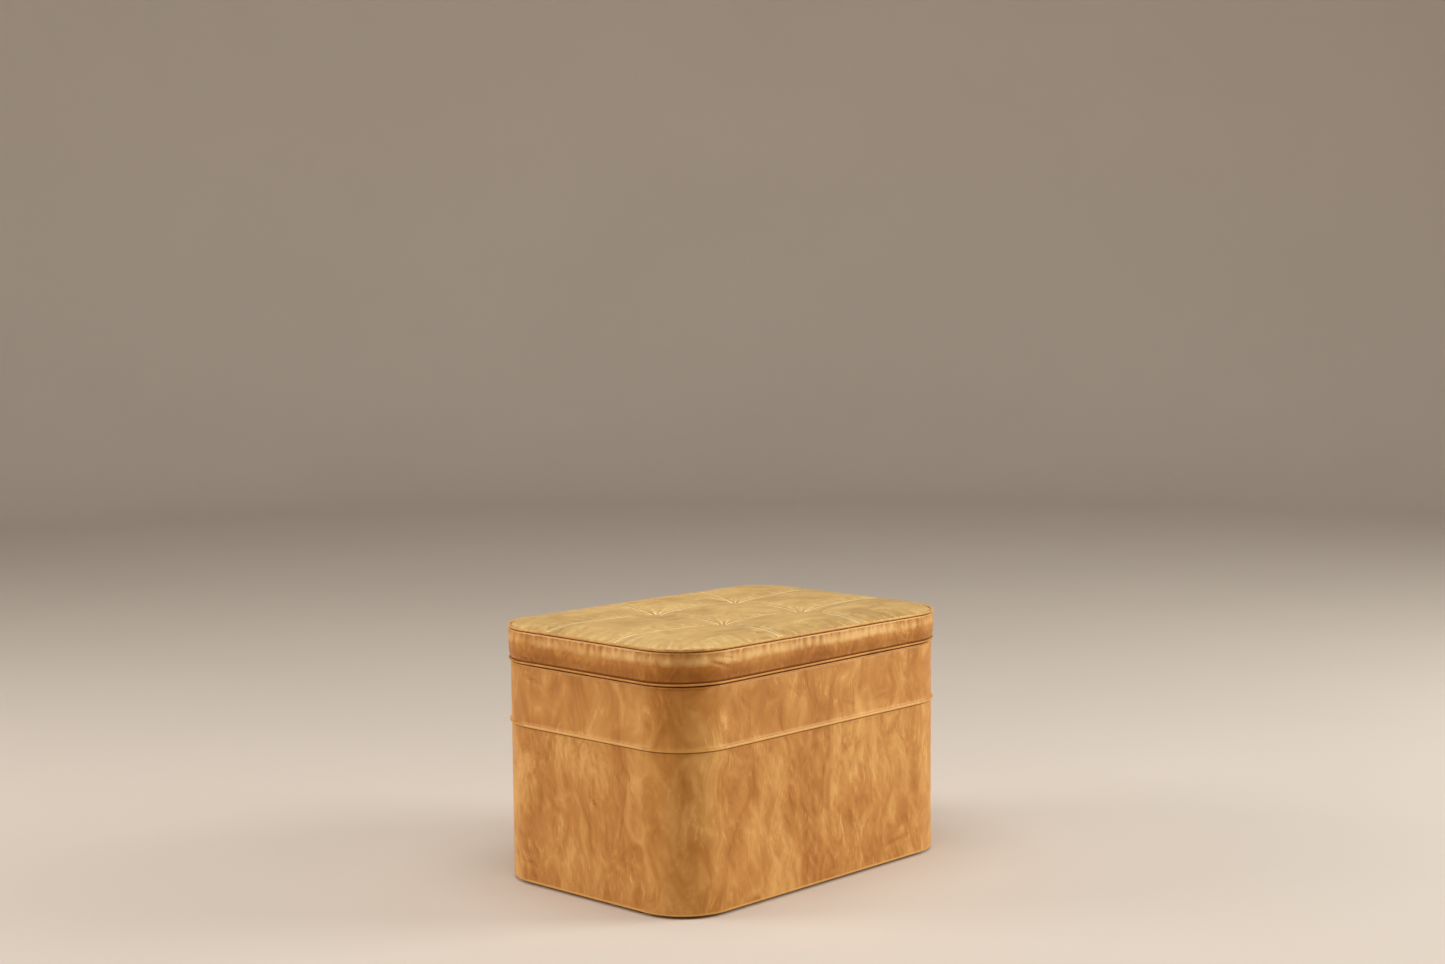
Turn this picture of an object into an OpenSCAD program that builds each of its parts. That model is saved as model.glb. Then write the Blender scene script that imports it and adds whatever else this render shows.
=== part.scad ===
// Storage ottoman: an upholstered plywood box with a hinged, tufted lid.
// Millimetres. +Z is up, X runs along the long side, -Y is the front, the hinges are at +Y.
// The origin is on the floor under the middle of the box.

/* [Box] */
// Length of the box over its cover, along X
box_l = 580; // [480:10:760]
// Depth of the box over its cover, along Y
box_w = 396; // [360:4:520]
// Height of the rim of the box above the floor
box_h = 319; // [260:1:420]
// Radius of the upright corners
corner_r = 80; // [60:1:110]
// Height of the lapped seam between the lower and the upper side cover
seam_z = 230.5; // [150:0.5:250]
// Thickness of the plywood sides and corners
panel_t = 12; // [9:1:15]
// Height that the glides lift the box off the floor
glide_h = 3; // [2:0.5:8]

/* [Lid] */
// How far the lid stands out past the box on every side
lid_overhang = 4; // [3.5:0.5:6]
// Open joint between the rim and the underside of the lid
lid_gap = 1.5; // [1.5:0.1:3]
// Height of the boxing band with its two welts
lid_h = 49; // [40:1:80]
// Rise of the padded top above the top welt
crown_h = 8; // [4:1:16]
// Angle to which the lid stays let the lid open
lid_open = 95; // [80:1:105]

/* [Hinges and lid stays] */
// Distance of each hinge from the middle of the box
hinge_x = 150; // [100:5:150]
// Length of one hinge
hinge_l = 60; // [40:5:70]
// Distance of both ends of a lid stay from the hinge axis
stay_r = 140; // [120:5:150]

/* [Hidden] */

$fn = 96;
eps = 0.01;

// Layers of the box, counted inwards from the face of the cover
cover_t = 1.2;
wadding_t = 3;
slack = 0.2;                             // air left between curved layers
panel_in = cover_t + wadding_t;          // outer face of the plywood
lining_in = panel_in + panel_t;          // inner face of the plywood
lining_t = 0.8;
rail_t = 15;
rail_h = 28;
rail_in = lining_in + rail_t;            // inner face of the top rails
facing_t = 1;
joint = 0.1;                             // air left between flat layers

// Heights of the layers of the box
cloth_t = 0.6;
skirt_z = glide_h + cloth_t;             // lowest edge of the cover
wood_z = skirt_z + cover_t;              // underside of the plywood
wood_top = box_h - facing_t;
board_t = 12;
floor_z = wood_z + board_t;
margin_w = 30;                           // cover turned in and stapled
hem_h = 4.5;
hem_t = 2.5;
thread_r = 0.4;

// Feet and buffers
glide_in = 60;                           // distance of the glides from the faces of the box
glide_r = 11;
stem_r = 2.5;
stem_l = 8;                              // length of the stem above the head
bumper_r = 5;
bumper_air = 0.3;                        // stays open between a bumper and the closed lid

// Heights of the layers of the lid
lid_z = box_h + lid_gap;
lid_cloth_t = 0.6;
lid_margin_z = lid_z + lid_cloth_t;
lid_board_z = lid_margin_z + facing_t + joint;
foam_z = lid_board_z + board_t + joint;
low_welt_r = 2;
top_welt_r = 2.5;
top_welt_z = lid_z + lid_h - top_welt_r;
band_z = lid_z + 2 * low_welt_r + joint;
band_top = top_welt_z - top_welt_r - joint;
band_in = 1;                             // the band lies behind the welts
band_t = 1.2;
lid_board_in = 5.6;
crown_z = top_welt_z - 1;
crown_top = top_welt_z + top_welt_r + crown_h;
crown_in = 2 * top_welt_r + joint;       // the top cover begins inside the upper welt
crown_slope = 50;                        // width of the slope around the flat of the crown

// The four blind tufts part the top into nine panels; the tufts sit a little off the middle
tuft_x = (box_l + 2 * lid_overhang) / 7;
tuft_y = (box_w + 2 * lid_overhang) / 6;
tuft_off = 9;
cord_r = 1;
cord_air = 0.5;
dish_r = 60;                             // radius of the hollow around a tuft
dish_depth = crown_h;
washer_r = 10;
washer_t = 0.9;

// Hinges: the axis runs along X in the open joint, behind the rear face
knuckle_r = 2.5;
axis_y = box_w / 2 + lid_overhang - knuckle_r;
axis_z = box_h + lid_gap / 2;
pin_r = 1.25;
running = 0.05;
leaf_t = 1.2;
leaf_w = 29;
base_leaf_z = wood_top;
lid_leaf_z = lid_board_z - leaf_t - joint;
knuckles = 5;
knuckle_gap = 0.3;
notch = 0.4;
hinge_screw_y = box_w / 2 - lining_in - rail_t / 2;    // over the middle of the rear rail

// Screws of the hinges and the lid stays
screw_r = 1.5;
screw_air = 0.2;
screw_l = 11;
screw_head_r = 2.8;
screw_head_t = 0.5;

// Lid stays: both ends stand stay_r from the hinge axis, so the arm turns half as far as the lid
stay_t = 1.5;
stay_w = 16;
side_air = 0.3;                                    // between the arm and what holds it
plate_x = box_l / 2 - rail_in - facing_t;          // face that the plates are screwed to
plate_l = 32;
plate_h = 20;
plate_below = 6;                                   // reach of a plate below its stud
plate_screw_y = 10;
plate_screw_z = 8;
arm_x = plate_x - stay_t - 3.7;                    // inner face of the arm
stud_r = 2.5;
stud_boss_r = 3.7;
stud_head_r = 4.3;
stud_head_t = 1.3;
slot_air = 0.25;
stud_z = box_h - 21;
bracket_x = arm_x - 0.5;                           // outer face of the bracket
bracket_w = 24;
bracket_foot = 16;
bracket_below = 5;                                 // reach of a bracket below its rivet
bracket_screw_x = arm_x - 10;
bracket_screw_y = 7;
rivet_head_r = 4;
rivet_head_t = 1;
lid_pivot_z = lid_z - stay_w / 2 - 1;
stud_y = axis_y - sqrt(stay_r * stay_r - pow(axis_z - stud_z, 2));
lid_pivot_y = axis_y - sqrt(stay_r * stay_r - pow(axis_z - lid_pivot_z, 2));
rest_angle = asin((axis_z - stud_z) / stay_r) - asin((axis_z - lid_pivot_z) / stay_r);
slot_near = 2 * stay_r * sin(rest_angle / 2);
slot_far = 2 * stay_r * sin((rest_angle + lid_open) / 2);
hang_angle = atan2(stud_y - lid_pivot_y, lid_pivot_z - stud_z);

// Plan of the box or the lid, drawn in from the outline by inset
module outline(inset = 0, grow = 0) {
    l = box_l + 2 * grow - 2 * inset;
    w = box_w + 2 * grow - 2 * inset;
    r = corner_r + grow - inset;
    square([l - 2 * r, w], center = true);
    square([l, w - 2 * r], center = true);
    for (sx = [-1, 1], sy = [-1, 1])
        translate([sx * (l / 2 - r), sy * (w / 2 - r)])
            circle(r);
}

module slab(inset, z0, z1, grow = 0) {
    translate([0, 0, z0])
        linear_extrude(z1 - z0)
            outline(inset, grow);
}

// A wall all round, from inset a to inset b
module ring(a, b, z0, z1, grow = 0) {
    difference() {
        slab(a, z0, z1, grow);
        slab(b, z0 - 1, z1 + 1, grow);
    }
}

// Quarter of a ring, in the corner on the sx, sy side
module quarter(sx, sy, a, b, z0, z1) {
    cx = box_l / 2 - corner_r;
    cy = box_w / 2 - corner_r;
    translate([sx * cx, sy * cy, z0])
        mirror([sx < 0 ? 1 : 0, 0, 0])
            mirror([0, sy < 0 ? 1 : 0, 0])
                rotate_extrude(angle = 90)
                    translate([corner_r - b, 0])
                        square([b - a, z1 - z0]);
}

// A round cord that follows the outline, its middle drawn in by inset
module cord_ring(r, inset, z, grow = 0) {
    hx = box_l / 2 + grow - inset;
    hy = box_w / 2 + grow - inset;
    turn = corner_r + grow - inset;
    for (s = [-1, 1]) {
        translate([-(hx - turn), s * hy, z])
            rotate([0, 90, 0])
                cylinder(h = 2 * (hx - turn), r = r);
        translate([s * hx, -(hy - turn), z])
            rotate([-90, 0, 0])
                cylinder(h = 2 * (hy - turn), r = r);
    }
    for (sx = [-1, 1], sy = [-1, 1])
        translate([sx * (hx - turn), sy * (hy - turn), z])
            mirror([sx < 0 ? 1 : 0, 0, 0])
                mirror([0, sy < 0 ? 1 : 0, 0])
                    rotate_extrude(angle = 90)
                        translate([turn, 0])
                            circle(r);
}

// ---- Carcass ----

module wood() {
    color("BurlyWood") children();
}

module glide_at(sx, sy) {
    translate([sx * (box_l / 2 - glide_in), sy * (box_w / 2 - glide_in), 0])
        children();
}

module bottom_board() {
    wood() difference() {
        slab(lining_in + slack, wood_z, floor_z);
        for (sx = [-1, 1], sy = [-1, 1])
            glide_at(sx, sy)
                translate([0, 0, wood_z - 1])
                    cylinder(h = stem_l + 2, r = stem_r + joint);
    }
}

module long_panel(side) {
    span = box_l - 2 * corner_r;
    wood()
        translate([-span / 2, side > 0 ? box_w / 2 - lining_in : -(box_w / 2 - panel_in), wood_z])
            cube([span, panel_t, wood_top - wood_z]);
}

module end_panel(side) {
    span = box_w - 2 * corner_r;
    wood()
        translate([side > 0 ? box_l / 2 - lining_in : -(box_l / 2 - panel_in), -span / 2, wood_z])
            cube([panel_t, span, wood_top - wood_z]);
}

module corner_shell(sx, sy) {
    wood() quarter(sx, sy, panel_in, lining_in, wood_z, wood_top);
}

module long_rail(side) {
    span = box_l - 2 * corner_r;
    wood() difference() {
        translate([-span / 2, side > 0 ? box_w / 2 - rail_in : -(box_w / 2 - lining_in), wood_top - rail_h])
            cube([span, rail_t, rail_h]);
        if (side > 0) hinge_screw_set(wood_top - screw_l - 1, screw_l + 2, screw_r + running);
    }
}

module end_rail(side) {
    span = box_w - 2 * corner_r;
    wood() difference() {
        translate([side > 0 ? box_l / 2 - rail_in : -(box_l / 2 - lining_in), -span / 2, wood_top - rail_h])
            cube([rail_t, span, rail_h]);
        plate_screw_set(side, screw_r + running, screw_l + 1);
    }
}

module rail_block(sx, sy) {
    wood() quarter(sx, sy, lining_in + slack, rail_in, wood_top - rail_h, wood_top);
}

// ---- Covers and linings of the box ----

module hide() {
    color([0.76, 0.53, 0.27]) children();
}

module side_wadding() {
    color("WhiteSmoke") difference() {
        ring(cover_t + slack, panel_in - slack, wood_z, wood_top);
        hinge_notches(0);
    }
}

module lower_side_cover() {
    hide() {
        ring(0, cover_t, skirt_z, seam_z + hem_h / 2);
        ring(cover_t - eps, margin_w, skirt_z, wood_z);
    }
}

// The upper cover ends in a folded hem that laps over the lower one
module upper_side_cover() {
    hide() difference() {
        union() {
            ring(0, cover_t, seam_z + hem_h / 2 + slack, wood_top);
            ring(-hem_t, cover_t, seam_z + hem_h / 2 + slack, seam_z + hem_h);
            ring(-hem_t, -slack, seam_z, seam_z + hem_h / 2 + slack + eps);
        }
        hinge_notches(0);
    }
}

module side_topstitching() {
    color([0.62, 0.42, 0.2])
        cord_ring(thread_r, -hem_t - thread_r - joint, seam_z + hem_h - thread_r);
}

module rim_facing() {
    hide() difference() {
        union() {
            ring(0, rail_in + facing_t, wood_top, box_h);
            ring(rail_in, rail_in + facing_t, wood_top - rail_h, wood_top + eps);
        }
        hinge_notches(leaf_w + notch);
        for (side = [-1, 1])
            plate_screw_set(side, screw_r + screw_air, screw_l);
    }
}

module wall_lining() {
    color([0.12, 0.12, 0.13])
        ring(lining_in + slack, lining_in + slack + lining_t, floor_z + lining_t, wood_top - rail_h);
}

module floor_lining() {
    color([0.12, 0.12, 0.13])
        slab(lining_in + slack, floor_z, floor_z + lining_t);
}

module dust_cloth() {
    color([0.1, 0.1, 0.1]) difference() {
        slab(margin_w / 2, glide_h, skirt_z);
        for (sx = [-1, 1], sy = [-1, 1])
            glide_at(sx, sy)
                cylinder(h = skirt_z + 1, r = stem_r + joint);
    }
}

module glide(sx, sy) {
    color("DimGray") glide_at(sx, sy) {
        cylinder(h = glide_h, r = glide_r);
        cylinder(h = glide_h + stem_l, r = stem_r);
    }
}

module lid_bumpers() {
    spot_x = box_l / 2 - corner_r;
    spot_y = box_w / 2 - corner_r;
    color("Black")
        for (s = [-1, 1]) {
            translate([s * spot_x, -(box_w / 2 - lining_in), box_h])
                cylinder(h = lid_gap - bumper_air, r = bumper_r);
            translate([s * (box_l / 2 - lining_in), spot_y / 2, box_h])
                cylinder(h = lid_gap - bumper_air, r = bumper_r);
        }
}

// ---- Hinges ----

// Room for the knuckles, and for a leaf that reaches in by depth
module hinge_notches(depth) {
    len = hinge_l + 2 * notch;
    for (s = [-1, 1]) {
        translate([s * hinge_x - len / 2, axis_y - knuckle_r - notch, axis_z - knuckle_r - notch])
            cube([len, 2 * leaf_w, 2 * (knuckle_r + notch)]);
        if (depth > 0)
            translate([s * hinge_x - len / 2, axis_y - knuckle_r - depth, wood_top - joint])
                cube([len, depth, lid_board_z - wood_top + joint]);
    }
}

// Knuckles of one leaf: the even ones belong to the box, the odd ones to the lid
module knuckle_row(first) {
    pitch = hinge_l / knuckles;
    for (i = [first:2:knuckles - 1])
        translate([-hinge_l / 2 + i * pitch + knuckle_gap / 2, axis_y, axis_z])
            rotate([0, 90, 0])
                cylinder(h = pitch - knuckle_gap, r = knuckle_r);
}

module leaf_tongues(first, z) {
    pitch = hinge_l / knuckles;
    for (i = [first:2:knuckles - 1])
        translate([-hinge_l / 2 + i * pitch + knuckle_gap / 2, axis_y - knuckle_r - 1, z])
            cube([pitch - knuckle_gap, knuckle_r + 1, leaf_t]);
}

module leaf(s, first, z) {
    color("Silver") translate([s * hinge_x, 0, 0]) difference() {
        union() {
            translate([-hinge_l / 2, axis_y - knuckle_r - leaf_w, z])
                cube([hinge_l, leaf_w - notch, leaf_t]);
            leaf_tongues(first, z);
            knuckle_row(first);
        }
        translate([-hinge_l / 2 - 1, axis_y, axis_z])
            rotate([0, 90, 0])
                cylinder(h = hinge_l + 2, r = pin_r + running);
        for (i = [-1, 1])
            translate([i * hinge_l / 3, hinge_screw_y, z - 1])
                cylinder(h = leaf_t + 2, r = screw_r + screw_air);
    }
}

module hinge_pin(s) {
    color("Gray")
        translate([s * hinge_x - hinge_l / 2, axis_y, axis_z])
            rotate([0, 90, 0])
                cylinder(h = hinge_l, r = pin_r);
}

// One round bar at each screw of the hinges, from z upwards
module hinge_screw_set(z, h, r) {
    for (s = [-1, 1], i = [-1, 1])
        translate([s * hinge_x + i * hinge_l / 3, hinge_screw_y, z])
            cylinder(h = h, r = r);
}

module hinge_base_screws() {
    head_z = base_leaf_z + leaf_t;
    color("Silver") {
        hinge_screw_set(head_z - screw_l, screw_l, screw_r);
        hinge_screw_set(head_z, screw_head_t, screw_head_r);
    }
}

module hinge_lid_screws() {
    color("Silver") {
        hinge_screw_set(lid_leaf_z, screw_l, screw_r);
        hinge_screw_set(lid_leaf_z - screw_head_t, screw_head_t, screw_head_r);
    }
}

// ---- Lid stays ----

// Screws of the plate on the rail of one end, as bars of radius r and length h
module plate_screw_set(side, r, h) {
    for (i = [-1, 1])
        translate([side * plate_x, stud_y + i * plate_screw_y, stud_z + plate_screw_z])
            rotate([0, side * 90, 0])
                cylinder(h = h, r = r);
}

module stay_plate(side) {
    head_from = plate_x - arm_x + side_air;
    color("Silver") difference() {
        union() {
            translate([side > 0 ? plate_x - stay_t : -plate_x, stud_y - plate_l / 2, stud_z - plate_below])
                cube([stay_t, plate_l, plate_h]);
            stud(side, stay_t, head_from - stay_t - 2 * side_air, stud_boss_r);
            stud(side, stay_t, head_from + eps, stud_r);
            stud(side, head_from, head_from + stud_head_t, stud_head_r);
        }
        translate([-side * stay_t * 2, 0, 0])
            plate_screw_set(side, screw_r + screw_air, stay_t * 4);
    }
}

// Part of a stud, between two distances from the face of the rail
module stud(side, from, to, r) {
    translate([side * (plate_x - from), stud_y, stud_z])
        rotate([0, -side * 90, 0])
            cylinder(h = to - from, r = r);
}

module stay_plate_screws() {
    color("Silver")
        for (side = [-1, 1]) {
            translate([-side * stay_t, 0, 0])
                plate_screw_set(side, screw_r, screw_l);
            translate([-side * (stay_t + screw_head_t), 0, 0])
                plate_screw_set(side, screw_head_r, screw_head_t);
        }
}

// The slotted arm, hung from its pivot on the lid and lying across the stud
module stay_arm(side) {
    far = slot_far + stud_r + slot_air;
    near = slot_near - stud_r - 1;
    color("Silver")
        translate([side > 0 ? arm_x : -arm_x - stay_t, lid_pivot_y, lid_pivot_z])
            rotate([hang_angle - 90, 0, 0])
                rotate([90, 0, 90])
                    linear_extrude(stay_t)
                        difference() {
                            union() {
                                translate([0, -stay_w / 2])
                                    square([far, stay_w]);
                                circle(stay_w / 2);
                                translate([far, 0])
                                    circle(stay_w / 2);
                            }
                            circle(stud_r + running);
                            slot_end = stud_r + slot_air;
                            translate([near + slot_end, -slot_end])
                                square([far - near - 2 * slot_end, 2 * slot_end]);
                            translate([near + slot_end, 0])
                                circle(slot_end);
                            translate([far - slot_end, 0])
                                circle(slot_end);
                        }
}

module stay_bracket(side) {
    y0 = lid_pivot_y - bracket_w / 2;
    z0 = lid_pivot_z - bracket_below;
    color("Silver") difference() {
        union() {
            translate([side > 0 ? bracket_x - stay_t : -bracket_x, y0, z0])
                cube([stay_t, bracket_w, lid_z - z0]);
            translate([side > 0 ? bracket_x - bracket_foot : -bracket_x, y0, lid_z - stay_t])
                cube([bracket_foot, bracket_w, stay_t]);
        }
        bracket_screw_set(side, lid_z - stay_t - 1, stay_t + 2, screw_r + screw_air);
        rivet_bar(side, bracket_x + 1, bracket_x - stay_t - 1, stud_r + running);
    }
}

// Round bar along X on the axis of the lid pivot, between two distances from the middle
module rivet_bar(side, outer, inner, r) {
    translate([side > 0 ? inner : -outer, lid_pivot_y, lid_pivot_z])
        rotate([0, 90, 0])
            cylinder(h = outer - inner, r = r);
}

module stay_rivet(side) {
    outer = arm_x + stay_t + side_air;
    inner = bracket_x - stay_t - running;
    color("Gray") {
        rivet_bar(side, outer + rivet_head_t, outer, rivet_head_r);
        rivet_bar(side, outer + eps, inner - eps, stud_r);
        rivet_bar(side, inner, inner - rivet_head_t, rivet_head_r);
    }
}

module bracket_screw_set(side, z, h, r) {
    for (i = [-1, 1])
        translate([side * bracket_screw_x, lid_pivot_y + i * bracket_screw_y, z])
            cylinder(h = h, r = r);
}

module stay_bracket_screws() {
    color("Silver")
        for (side = [-1, 1]) {
            bracket_screw_set(side, lid_z - stay_t, screw_l, screw_r);
            bracket_screw_set(side, lid_z - stay_t - screw_head_t, screw_head_t, screw_head_r);
        }
}

// ---- Lid ----

module at_tufts() {
    for (sx = [-1, 1], sy = [-1, 1])
        translate([tuft_off + sx * tuft_x, sy * tuft_y, 0])
            children();
}

// Holes that the screws of the hinges and the stays leave in the layers of the lid
module lid_screw_holes() {
    hinge_screw_set(lid_z - 1, screw_l + 3, screw_r + running);
    for (side = [-1, 1])
        bracket_screw_set(side, lid_z - 1, screw_l + 1, screw_r + running);
}

module lid_board() {
    wood() difference() {
        slab(lid_board_in, lid_board_z, lid_board_z + board_t, lid_overhang);
        at_tufts()
            translate([0, 0, lid_board_z - 1])
                cylinder(h = board_t + 2, r = 2 * cord_r);
        lid_screw_holes();
    }
}

// Padded form: straight sides from z0, then a low crown that ends drop below the top of the lid,
// with a round hollow at each tuft
module pad_form(inset, z0, drop) {
    difference() {
        union() {
            slab(inset, z0, crown_z - drop, lid_overhang);
            hull() {
                translate([0, 0, crown_z - drop - eps])
                    linear_extrude(eps)
                        outline(inset, lid_overhang, $fn = 32);
                translate([0, 0, crown_top - drop - 1])
                    linear_extrude(1)
                        outline(inset + crown_slope, lid_overhang, $fn = 32);
            }
        }
        at_tufts()
            translate([0, 0, crown_top - drop - dish_depth + dish_r])
                sphere(dish_r);
    }
}

module lid_foam() {
    color("LightYellow") difference() {
        pad_form(lid_board_in, foam_z, cover_t + wadding_t + 2 * slack);
        at_tufts()
            translate([0, 0, foam_z - 1])
                cylinder(h = lid_h, r = cord_r + cord_air);
    }
}

module lid_wadding() {
    side_z = band_z + band_t + slack;
    color("WhiteSmoke") difference() {
        union() {
            ring(band_in + band_t + slack, lid_board_in, side_z, band_top, lid_overhang);
            pad_form(crown_in + slack, side_z, cover_t + slack);
        }
        pad_form(lid_board_in - slack, band_z, cover_t + wadding_t + slack);
    }
}

module top_cover() {
    hide() difference() {
        pad_form(crown_in + eps, crown_z - cover_t, 0);
        pad_form(crown_in, crown_z - 3 * cover_t, cover_t);
    }
}

module top_welt() {
    hide() cord_ring(top_welt_r, top_welt_r, top_welt_z, lid_overhang);
}

module bottom_welt() {
    hide() difference() {
        cord_ring(low_welt_r, low_welt_r, lid_z + low_welt_r, lid_overhang);
        hinge_notches(0);
    }
}

// The band runs down behind the lower welt and is stapled under the board
module boxing_band() {
    fold_in = 2 * low_welt_r + 0.2;
    hide() difference() {
        union() {
            ring(band_in, band_in + band_t, band_z, band_top, lid_overhang);
            ring(band_in, fold_in + band_t, band_z, band_z + band_t, lid_overhang);
            ring(fold_in, fold_in + band_t, lid_margin_z, band_z + band_t, lid_overhang);
            ring(fold_in, margin_w, lid_margin_z, lid_margin_z + facing_t, lid_overhang);
        }
        hinge_notches(leaf_w + notch);
        lid_screw_holes();
    }
}

module lid_lining() {
    color([0.12, 0.12, 0.13]) difference() {
        slab(margin_w / 2, lid_z, lid_margin_z, lid_overhang);
        hinge_notches(leaf_w + notch);
        lid_screw_holes();
    }
}

module tuft_cords() {
    top = crown_top - dish_depth - cover_t - wadding_t - 2 * slack;
    color("Tan")
        at_tufts()
            translate([0, 0, lid_margin_z])
                cylinder(h = top - lid_margin_z, r = cord_r);
}

module tuft_washers() {
    color("Silver")
        at_tufts()
            translate([0, 0, lid_margin_z])
                difference() {
                    cylinder(h = washer_t, r = washer_r);
                    translate([0, 0, -1])
                        cylinder(h = washer_t + 2, r = cord_r + screw_air);
                }
}

bottom_board();
long_panel(-1);  // front_panel
long_panel(1);  // rear_panel
end_panel(-1);  // left_panel
end_panel(1);  // right_panel
corner_shell(-1, -1);  // corner_front_left
corner_shell(1, -1);  // corner_front_right
corner_shell(-1, 1);  // corner_rear_left
corner_shell(1, 1);  // corner_rear_right
long_rail(-1);  // front_rail
long_rail(1);  // rear_rail
end_rail(-1);  // left_rail
end_rail(1);  // right_rail
rail_block(-1, -1);  // rail_block_front_left
rail_block(1, -1);  // rail_block_front_right
rail_block(-1, 1);  // rail_block_rear_left
rail_block(1, 1);  // rail_block_rear_right
side_wadding();
lower_side_cover();
upper_side_cover();
side_topstitching();
rim_facing();
wall_lining();
floor_lining();
dust_cloth();
glide(-1, -1);  // glide_front_left
glide(1, -1);  // glide_front_right
glide(-1, 1);  // glide_rear_left
glide(1, 1);  // glide_rear_right
leaf(-1, 0, base_leaf_z);  // hinge_left_base_leaf
leaf(1, 0, base_leaf_z);  // hinge_right_base_leaf
hinge_pin(-1);  // hinge_left_pin
hinge_pin(1);  // hinge_right_pin
hinge_base_screws();
stay_plate(-1);  // stay_left_plate
stay_plate(1);  // stay_right_plate
stay_plate_screws();
lid_bumpers();
lid_board();
lid_foam();
lid_wadding();
top_cover();
top_welt();
boxing_band();
bottom_welt();
lid_lining();
tuft_cords();
tuft_washers();
leaf(-1, 1, lid_leaf_z);  // hinge_left_lid_leaf
leaf(1, 1, lid_leaf_z);  // hinge_right_lid_leaf
hinge_lid_screws();
stay_bracket(-1);  // stay_left_bracket
stay_bracket(1);  // stay_right_bracket
stay_bracket_screws();
stay_rivet(-1);  // stay_left_rivet
stay_rivet(1);  // stay_right_rivet
stay_arm(-1);  // stay_left_arm
stay_arm(1);  // stay_right_arm
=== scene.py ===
import math

import bmesh
import bpy
from mathutils import Matrix, Vector, noise


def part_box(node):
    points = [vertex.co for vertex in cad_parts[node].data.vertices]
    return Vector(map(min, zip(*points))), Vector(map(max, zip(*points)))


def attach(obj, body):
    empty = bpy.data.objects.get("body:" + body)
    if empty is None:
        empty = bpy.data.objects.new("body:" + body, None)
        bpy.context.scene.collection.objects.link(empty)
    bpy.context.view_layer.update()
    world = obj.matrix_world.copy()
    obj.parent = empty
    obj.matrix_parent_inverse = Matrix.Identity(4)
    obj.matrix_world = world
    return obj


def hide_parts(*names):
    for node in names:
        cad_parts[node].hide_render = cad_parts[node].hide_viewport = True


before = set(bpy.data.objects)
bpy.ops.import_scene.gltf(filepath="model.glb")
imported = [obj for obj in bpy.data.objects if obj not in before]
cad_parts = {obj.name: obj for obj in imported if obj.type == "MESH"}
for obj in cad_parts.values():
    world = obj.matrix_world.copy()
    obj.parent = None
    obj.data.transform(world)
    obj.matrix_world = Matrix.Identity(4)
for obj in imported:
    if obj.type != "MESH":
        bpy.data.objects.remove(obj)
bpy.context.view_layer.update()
MM = 0.001


# ---- Camera, floor and light ----
# The box stands on a plain pale floor and is seen from its front left corner, a little above
# its lid. Three soft lamps hang over it, the brightest on the side of its long front.

camera = bpy.data.objects.new("camera", bpy.data.cameras.new("camera"))
bpy.context.scene.collection.objects.link(camera)
bpy.context.scene.camera = camera
camera.data.lens = 58
camera_at = (-2.4668, -2.3403, 0.8995)
camera_bearing = math.radians(46.48)
camera_dip = math.radians(5.6)
camera_roll = math.radians(-0.53)
camera.matrix_world = (
    Matrix.Translation(camera_at)
    @ Matrix.Rotation(-camera_bearing, 4, "Z")
    @ Matrix.Rotation(math.pi / 2 - camera_dip, 4, "X")
    @ Matrix.Rotation(camera_roll, 4, "Z")
)
bpy.context.scene.view_settings.view_transform = "Standard"


def tone(red, green, blue):
    """A colour given as it looks on a screen, from 0 to 255, as the shaders count it."""
    def linear(part):
        share = part / 255
        return share / 12.92 if share < 0.04045 else ((share + 0.055) / 1.055) ** 2.4
    return (linear(red), linear(green), linear(blue), 1)


def feed(tree, socket, value):
    """Gives a socket a value, or links another node's output to it."""
    if isinstance(value, bpy.types.NodeSocket):
        tree.links.new(value, socket)
    else:
        socket.default_value = value


def wire(tree, node, **inputs):
    """Feeds a node's inputs by their names."""
    for name, value in inputs.items():
        feed(tree, node.inputs[name.replace("_", " ")], value)


def place(tree, kind, settings=None, at=None, **inputs):
    """Adds a node. Inputs go by name, or by number in at, and take a value or another node's output."""
    node = tree.nodes.new("ShaderNode" + kind)
    for name, value in (settings or {}).items():
        setattr(node, name, value)
    wire(tree, node, **inputs)
    for number, value in (at or {}).items():
        feed(tree, node.inputs[number], value)
    return node


def own_place(tree):
    """Where the shaded point lies in its piece."""
    return place(tree, "TexCoord").outputs["Object"]


def mixed(tree, factor, first, second):
    """One colour laid over another, as a socket."""
    settings = {"data_type": "RGBA", "clamp_factor": True}
    return place(tree, "Mix", settings, {0: factor, 6: first, 7: second}).outputs[2]


def material(name, **sockets):
    """A new material and its shader, with the numbers that are the same all over it."""
    made = bpy.data.materials.new(name)
    made.use_nodes = True
    shader = made.node_tree.nodes["Principled BSDF"]
    wire(made.node_tree, shader, **sockets)
    return made, made.node_tree, shader


def draw_out(bm, edges):
    """Extrudes edges, and returns the new edges and the new points."""
    made = bmesh.ops.extrude_edge_only(bm, edges=edges)["geom"]
    return [
        [item for item in made if isinstance(item, kind)] for kind in (bmesh.types.BMEdge, bmesh.types.BMVert)
    ]


def show(bm, name, finish):
    """Makes an object of the mesh, smooth shaded, in that material."""
    mesh = bpy.data.meshes.new(name)
    bm.to_mesh(mesh)
    bm.free()
    mesh.shade_smooth()
    mesh.materials.append(finish)
    obj = bpy.data.objects.new(name, mesh)
    bpy.context.scene.collection.objects.link(obj)
    return obj


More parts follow.
